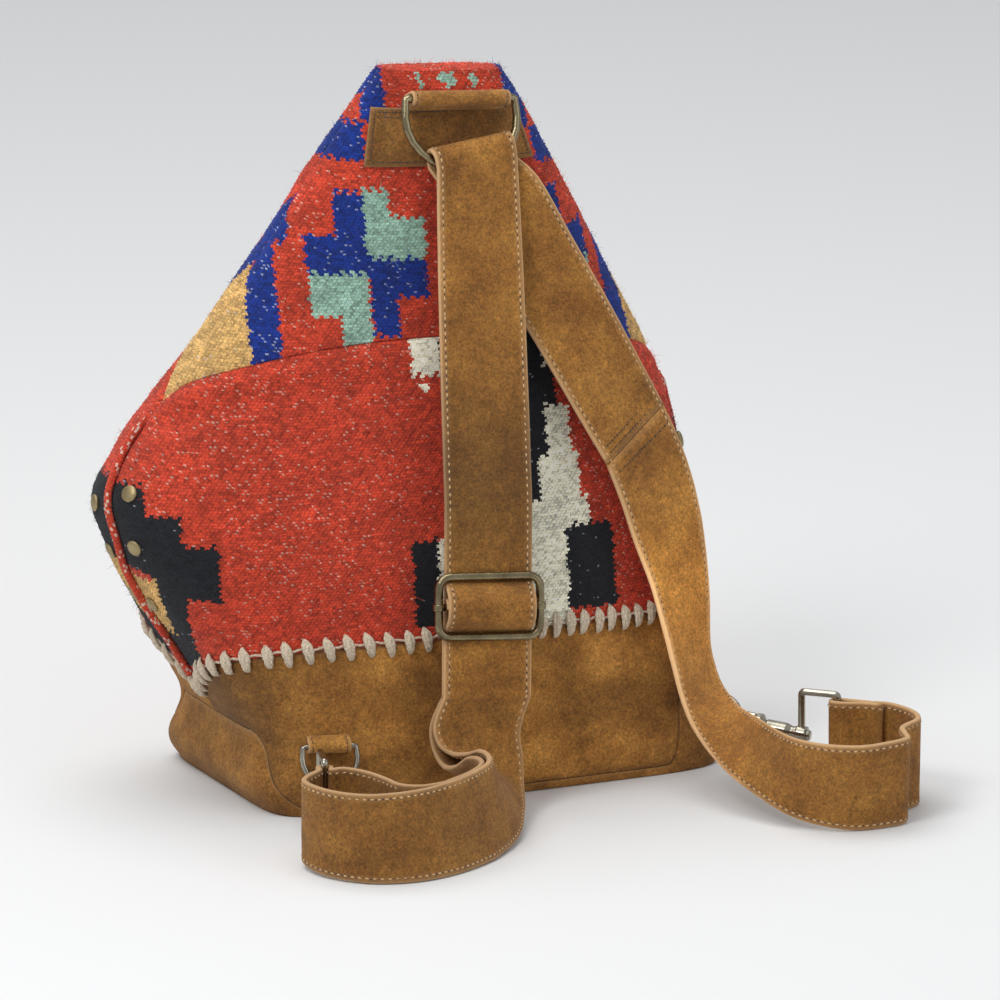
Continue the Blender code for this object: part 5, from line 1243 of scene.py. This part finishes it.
middle = topRing["frame"][0]
seats = []
for riseUpward in tabSet["topSeats"]:
    heights = np.array([middle.z + riseUpward + e * tabSet["thickness"] for e in (-0.5, 0.5)])
    across = acrossAt(-1, np.full(2, middle.x), heights)
    ys = skinPoint(-1, across, heights, patchSet["thickness"] + 2 * bagShape["gap"])[:, 1]
    seats.append((ys.min() - middle.y - bagShape["gap"], riseUpward))
tab("topTab", topRing, tabSet["topWidth"], seats, (0, -1, 0), ["top_tab"])
for word, ring in baseRings.items():
    seats = [(tabSet["baseReach"], spread) for spread in (tabSet["baseSpread"], -tabSet["baseSpread"])]
    tab(word + "BaseTab", ring, tabSet["baseWidth"], seats, ring["out"], [word + "_base_tab"])
print("patch and tabs done")

# cast metal: each solid again with the soft edges of a casting


def castCopy(node, name, look, body, voxel, rounds, grow):
    source = bpy.data.objects[node]
    mesh = source.data.copy()
    piece = bpy.data.objects.new(name, mesh)
    bpy.context.scene.collection.objects.link(piece)
    piece.matrix_world = source.matrix_world.copy()
    mesh.materials.clear()
    remesh = piece.modifiers.new("remesh", "REMESH")
    remesh.mode = "VOXEL"
    remesh.voxel_size = voxel
    remesh.use_smooth_shade = True
    soften = piece.modifiers.new("soften", "SMOOTH")
    soften.factor = 0.5
    soften.iterations = rounds
    bpy.context.view_layer.update()
    made = bpy.data.meshes.new_from_object(piece.evaluated_get(bpy.context.evaluated_depsgraph_get()))
    piece.modifiers.clear()
    piece.data = made
    bpy.data.meshes.remove(mesh)
    made.materials.clear()
    made.materials.append(finishes[look])
    made.shade_smooth()
    if grow:
        normals = np.empty(len(made.vertices) * 3, np.float32)
        made.vertices.foreach_get("normal", normals)
        normals = normals.reshape(-1, 3)
        sound = np.abs(np.linalg.norm(normals, axis=1) - 1) < 0.1
        moved = meshPoints(made) + np.where(sound[:, None], normals, 0.0) * grow
        made.vertices.foreach_set("co", moved.astype(np.float32).ravel())
        made.update()
    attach(piece, body)
    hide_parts(node)
    return len(made.polygons)


# node, piece, finish, body, and how far the smoothed surface is put out again
metals = [("top_ring", "topRing", "brass", "top_ring", 0.0006),
          ("slider_frame", "sliderFrame", "brass", "slider", 0.0006),
          ("slider_bar", "sliderBar", "brass", "slider_bar", 0.0001)]
for node, kind, grow in (("base_ring", "ring", 0.0003), ("hook", "hook", 0.0002), ("gate", "gate", 0.0001),
                         ("eye", "eye", 0.0005)):
    for word in ("left", "right"):
        metals.append((word + "_" + node, word + kind.capitalize(), "nickel", word + "_" + kind, grow))
metals += [("zip_slider", "zipSlider", "brass", "zip_slider", 0.0), ("zip_pull", "zipPull", "brass", "zip_pull", 0.0)]
# mesh size and rounds of smoothing
castSet = {"small": (0.00023, 2), "brass": (0.00034, 4), "nickel": (0.00030, 4)}
metalCount = 0
for node, name, look, body, grow in metals:
    small = node.startswith("zip") or node.endswith("gate")
    metalCount += castCopy(node, name, look, body, *castSet["small" if small else look], grow)
print("metal", metalCount, "faces")


def turned(name, profile, seat, axis, look, body, replaced, steps=28):
    # a turned shape: profile is (height, radius) from the seat outwards
    axis = Vector(axis).normalized()
    first = axis.orthogonal().normalized()
    second = axis.cross(first)
    points = []
    for height, radius in profile:
        for k in range(steps):
            angle = 2 * math.pi * k / steps
            outward = first * math.cos(angle) + second * math.sin(angle)
            points.append(Vector(seat) + axis * height + outward * radius)
    faces = [tuple(f) for f in gridFaces(len(profile), steps, looped=True)]
    faces.append(tuple(range((len(profile) - 1) * steps, len(profile) * steps)))
    return newPiece(name, points, faces, look, body, replaced)


rivetSet = {"radius": 0.0045, "under": 0.0003,
            "places": {"back": ((0.1050, 0.0115), (0.1385, 0.0220), (0.1655, 0.0184)),
                       "front": ((0.1050, 0.0115), (0.1290, 0.0120), (0.1550, 0.0105))},
            "profile": ((-0.0004, 0.97), (0.0002, 1.0), (0.0006, 0.99), (0.00085, 0.93), (0.0012, 0.80),
                        (0.0015, 0.62), (0.0017, 0.40), (0.0018, 0.18))}
rivetProfile = [(rise, radius * rivetSet["radius"]) for rise, radius in rivetSet["profile"]]
for word in ("left", "right"):
    for faceWord, side in (("back", -1), ("front", 1)):
        for number, (h, fromSeam) in enumerate(rivetSet["places"][faceWord], 1):
            share = fromSeam / float(sum(clothReach(side, np.array([h])))[0])
            spot = [side], [share if word == "left" else 1 - share], [h]
            seat = skinPoint(*spot, bagShape["gap"] + rivetSet["under"])[0]
            name = "rivet_" + word + "_" + faceWord + "_" + str(number)
            turned(name, rivetProfile, seat, bagNormal(*spot)[0], "rivet", "bag", [name])


def tubePoints(path, aside, above, size, angle):
    return path[:, None] + aside[:, None] * (np.cos(angle) * size)[:, :, None] \
        + above[:, None] * (np.sin(angle) * size)[:, :, None]


def tubeFaces(rows, sides, first=0):
    faces = [tuple(f) for f in (gridFaces(rows, sides, looped=True) + first).tolist()]
    return faces + [tuple(range(first, first + sides))[::-1],
                    tuple(range(first + (rows - 1) * sides, first + rows * sides))]


def roundCord(name, path, radius, look, body, replaced=(), sides=8, wrapped=0.0, pitch=0.0022, colours=None):
    # a cord along a path of points; wrapped gives it the swells of a thread wound round it
    path = np.asarray(path, float)
    ahead = np.gradient(path, axis=0)
    ahead /= np.linalg.norm(ahead, axis=1)[:, None]
    aside = np.cross(ahead, np.array([0.0, 0.0, 1.0]))
    short = np.linalg.norm(aside, axis=1) < 0.2
    aside[short] = np.cross(ahead[short], np.array([0.0, 1.0, 0.0]))
    aside /= np.linalg.norm(aside, axis=1)[:, None]
    above = np.cross(aside, ahead)
    far = np.concatenate(([0], np.cumsum(np.linalg.norm(np.diff(path, axis=0), axis=1))))
    angle = np.arange(sides) * 2 * math.pi / sides
    swell = 1 + wrapped * np.sin(2 * math.pi * far[:, None] / pitch + angle[None])
    size = np.reshape(radius, (-1, 1)) * swell
    points = tubePoints(path, aside, above, size, angle)
    made = newPiece(name, points.reshape(-1, 3), tubeFaces(len(path), sides), look, body, replaced)
    if colours is not None:
        tones = colours(far, sides)
        paintCorners(made.data, "dyeAndShade", np.vstack((tones, tones[:1], tones[-1:])))


weltSet = {"radius": 0.0021, "top": 0.200, "low": 0.0625, "end": 0.006, "wrap": 0.10, "pitch": 0.0021,
           "specks": 0.12, "speckShade": 0.85, "tones": (0.7, 1.25), "wave": (0.0004, 210), "seed": 31}


def weltColours(far, sides):
    rng = np.random.default_rng(weltSet["seed"])
    count = (len(far) - 1) * sides
    red, pale = np.array(fromScreen(*dyes["red"])), np.array(fromScreen(*dyes["dot"]))
    tone = rng.uniform(*weltSet["tones"], (count, 1))
    runs = np.repeat(rng.random(((len(far) + 1) // 3, sides)), 3, axis=0)[:len(far) - 1].reshape(-1, 1)
    return np.where(runs < weltSet["specks"], pale * weltSet["speckShade"], red * tone)


for word, end in (("left", 0.0), ("right", 1.0)):
    heights = np.arange(weltSet["low"], weltSet["top"], 0.0005)
    shift = seamShift(heights) / sum(clothReach(-1, heights)) if word == "left" else 0.0
    path = skinPoint(-1, end + shift, heights, weltSet["radius"] * 0.7)
    path[:, 1] += weltSet["wave"][0] * np.sin(heights * weltSet["wave"][1])
    narrow = np.clip((weltSet["top"] - heights) / weltSet["end"], 0.35, 1.0) * weltSet["radius"]
    roundCord(word + "SeamCord", path, narrow, "wool", "bag", [word + "_side_welt"], 10, weltSet["wrap"],
              weltSet["pitch"], weltColours)
print("rivets and seam cords done")

# zip: tape, teeth, and the arc that they lie on
zipSet = {"centre": (-0.014, -0.51826, 0.24855), "axis": (0.03954, 0, 0.99922), "radius": 0.5616,
          "slope": math.radians(13.4), "half": 0.052, "level": -0.00465, "pitch": 0.0021,
          "tape": 0.0085, "tapeEnds": 0.003, "tapeThick": 0.0006, "weave": 0.0002, "closedTo": 0.0165,
          "toothEnd": (0.00048, 0.0024), "toothHead": (0.00042, 0.0006), "toothHalf": 0.0011, "toothNarrowing": 0.75}
zipCentre, zipAxis = Vector(zipSet["centre"]), Vector(zipSet["axis"]).normalized()


def zipPoint(along, outward, upward):
    turn = along / zipSet["radius"]
    aim = Vector((0, 1, 0))
    aim = (aim - zipAxis * aim.dot(zipAxis)).normalized()
    aim = aim * math.cos(turn) + zipAxis.cross(aim) * math.sin(turn)
    out = outward * math.cos(zipSet["slope"]) - upward * math.sin(zipSet["slope"])
    up = outward * math.sin(zipSet["slope"]) + upward * math.cos(zipSet["slope"])
    return zipCentre + aim * (zipSet["radius"] + out) + zipAxis * up


tapeColumns, tapeRows = 120, 11
points = []
for r in range(tapeRows):
    up = -zipSet["tape"] + 2 * zipSet["tape"] * r / (tapeRows - 1)
    for c in range(tapeColumns):
        along = (zipSet["half"] + zipSet["tapeEnds"]) * (2 * c / (tapeColumns - 1) - 1)
        points.append(zipPoint(along, zipSet["level"] + 0.00035 - (zipSet["weave"] if (c + r) % 2 else 0), up))
tape = newPiece("zipTape", points, gridFaces(tapeRows, tapeColumns, flip=True), "tape", "bag", ["zip_chain"])
addSkirt(tape, zipSet["tapeThick"])
points, faces = [], []
along = -zipSet["half"] + 0.001
while along < zipSet["half"] - zipSet["closedTo"]:
    for row in (-1, 1):
        at = along + (zipSet["pitch"] / 2 if row > 0 else 0)
        first = len(points)
        (endHalf, end), (headHalf, head) = zipSet["toothEnd"], zipSet["toothHead"]
        corners = ((-endHalf, row * end), (endHalf, row * end), (headHalf, -row * head), (-headHalf, -row * head))
        for dz, narrowing in ((-1, 1), (1, zipSet["toothNarrowing"])):
            for da, du in corners:
                points.append(zipPoint(at + da * narrowing, zipSet["level"] + dz * zipSet["toothHalf"], du))
        faces += [tuple(first + k for k in f) for f in
                  ((0, 1, 2, 3), (7, 6, 5, 4), (0, 4, 5, 1), (1, 5, 6, 2), (2, 6, 7, 3), (3, 7, 4, 0))]
    along += zipSet["pitch"]
newPiece("zipTeeth", points, faces, "brass", "bag", smooth=False)
print("zip done")

# jute stitches over the join of wool and suede, three strands to a stitch
juteSet = {"pitch": 0.0112, "pitchRight": 0.0080, "reach": 0.0068, "wide": 0.0015, "strand": 0.00142, "rise": 0.0019,
           "slant": 0.0012, "slantRight": 0.0045, "ends": 0.004, "tucked": (0.0016, 0.05), "twist": (0.16, 38),
           "thread": 0.0007, "threadLift": 0.0012, "threadWave": (0.0005, 190), "shaky": (0.0006, 0.0004), "seed": 11}


def joinLine(side, steps=1600):
    u = np.linspace(0, 1, steps)
    points = bagPoint(side, u, joinHeight(u))
    return u, np.concatenate(([0], np.cumsum(np.linalg.norm(np.diff(points, axis=0), axis=1))))


def juteStitches():
    rng = np.random.default_rng(juteSet["seed"])
    shakySlant, shakyPlace = juteSet["shaky"]
    points, faces = [], []
    sides, steps = 6, 11
    t = np.linspace(0, 1, steps)
    swell = np.sin(math.pi * t) ** 0.7
    angle = np.arange(sides) * 2 * math.pi / sides
    tucked, tuckReach = juteSet["tucked"]
    twisted, turns = juteSet["twist"]
    for side in (-1, 1):
        u, far = joinLine(side)
        at = juteSet["ends"]
        while at < far[-1] - juteSet["ends"]:
            right = np.interp(at, far, u) > 0.5
            pitch = juteSet["pitchRight"] if right else juteSet["pitch"]
            slant = (juteSet["slantRight"] if right else juteSet["slant"]) + rng.normal(0, shakySlant)
            lean = rng.normal(0, shakyPlace)
            top, low = juteSet["reach"] * rng.uniform(0.88, 1.08), juteSet["reach"] * rng.uniform(0.88, 1.05)
            for strand in (-1, 0, 1):
                along = at + lean + slant * (t - 0.5) + strand * juteSet["wide"] * swell \
                    + 0.0003 * np.sin(9 * t + strand * 2)
                across = np.interp(along, far, u)
                h = joinHeight(across) - low + (low + top) * t
                proud = bagShape["gap"] + juteSet["strand"] * 0.5 \
                    + juteSet["rise"] * swell * (0.72 if strand else 1.0)
                proud = proud - tucked * (fading(t, tuckReach) + fading(1 - t, tuckReach))
                path, out = skinPoint(side, across, h, proud), bagNormal(side, across, h)
                ahead = np.gradient(path, axis=0)
                ahead /= np.linalg.norm(ahead, axis=1)[:, None]
                aside = np.cross(ahead, out)
                aside /= np.linalg.norm(aside, axis=1)[:, None]
                size = juteSet["strand"] * (0.40 + 0.60 * swell) * rng.uniform(0.92, 1.12) * (0.9 if right else 1.0)
                size = size[:, None] * (1 + twisted * np.sin(t[:, None] * turns + angle[None] + strand))
                faces += tubeFaces(steps, sides, len(points))
                points += list(tubePoints(path, aside, out, size, angle).reshape(-1, 3))
            at += pitch * rng.uniform(0.93, 1.07)
    newPiece("juteStitches", points, faces, "jute", "bag", ["jute_stitching"])


juteStitches()
for side, word in ((-1, "Back"), (1, "Front")):
    u = np.linspace(0.002, 0.998, 420)
    h = joinHeight(u) + juteSet["threadLift"] + juteSet["threadWave"][0] * np.sin(u * juteSet["threadWave"][1])
    path = skinPoint(side, u, h, 0.0006)
    roundCord("juteThread" + word, path, juteSet["thread"], "jute", "bag", (), 6, 0.15, 0.0018)
print("jute done")

bpy.context.scene.view_settings.view_transform = "Standard"
bpy.context.scene.view_settings.look = "None"

# floor, light and surroundings
stageSet = {"floor": (226, 226, 225), "far": (216, 215, 214), "fade": (-0.3, 1.6), "wide": 8, "level": -0.0004,
            "air": (0.93, 0.96, 1.0, 1.0), "sky": 0.55, "aim": (0, 0, 0.18),
            "lights": {"overheadLight": (34.0, 2.2, (-0.3, 0.45, 2.4)), "keyLight": (20.0, 0.9, (-1.5, -0.9, 1.9)),
                       "fillLight": (6.0, 1.6, (1.4, -2.0, 1.1))}}
floorMesh = bpy.data.meshes.new("floor")
wide, level = stageSet["wide"], stageSet["level"]
floorMesh.from_pydata([(-wide, -wide, level), (wide, -wide, level), (wide, wide, level), (-wide, wide, level)], [],
                      [(0, 1, 2, 3)])
floor = bpy.data.objects.new("floor", floorMesh)
bpy.context.scene.collection.objects.link(floor)
# the paper is painted darker towards the back, painted shade of the light falling off
floorLook, floorTree, floorShader = newMaterial("shadedPaper", roughness=0.85)
place = floorTree.nodes.new("ShaderNodeTexCoord")
split = floorTree.nodes.new("ShaderNodeSeparateXYZ")
floorTree.links.new(place.outputs["Object"], split.inputs["Vector"])
span = floorTree.nodes.new("ShaderNodeMapRange")
span.inputs["From Min"].default_value, span.inputs["From Max"].default_value = stageSet["fade"]
floorTree.links.new(split.outputs["Y"], span.inputs["Value"])
shadedPaper = rampNode(floorTree, span.outputs["Result"],
                 [(0.0, fromScreen(*stageSet["floor"])), (1.0, fromScreen(*stageSet["far"]))])
floorTree.links.new(shadedPaper, floorShader.inputs["Base Color"])
floorMesh.materials.append(floorLook)
floor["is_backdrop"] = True

world = bpy.data.worlds.new("studio")
bpy.context.scene.world = world
world.use_nodes = True
background = world.node_tree.nodes["Background"]
background.inputs["Color"].default_value = stageSet["air"]
background.inputs["Strength"].default_value = stageSet["sky"]

for name, (power, size, place) in stageSet["lights"].items():
    data = bpy.data.lights.new(name, "AREA")
    data.shape = "DISK"
    data.energy = power
    data.size = size
    made = bpy.data.objects.new(name, data)
    made.location = place
    made.rotation_euler = (Vector(stageSet["aim"]) - Vector(place)).to_track_quat("-Z", "Y").to_euler()
    bpy.context.scene.collection.objects.link(made)
print("light and floor ready")

size = {"cad": [list(cadLow), list(cadHigh)], "visual": [list(v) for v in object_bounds()]}
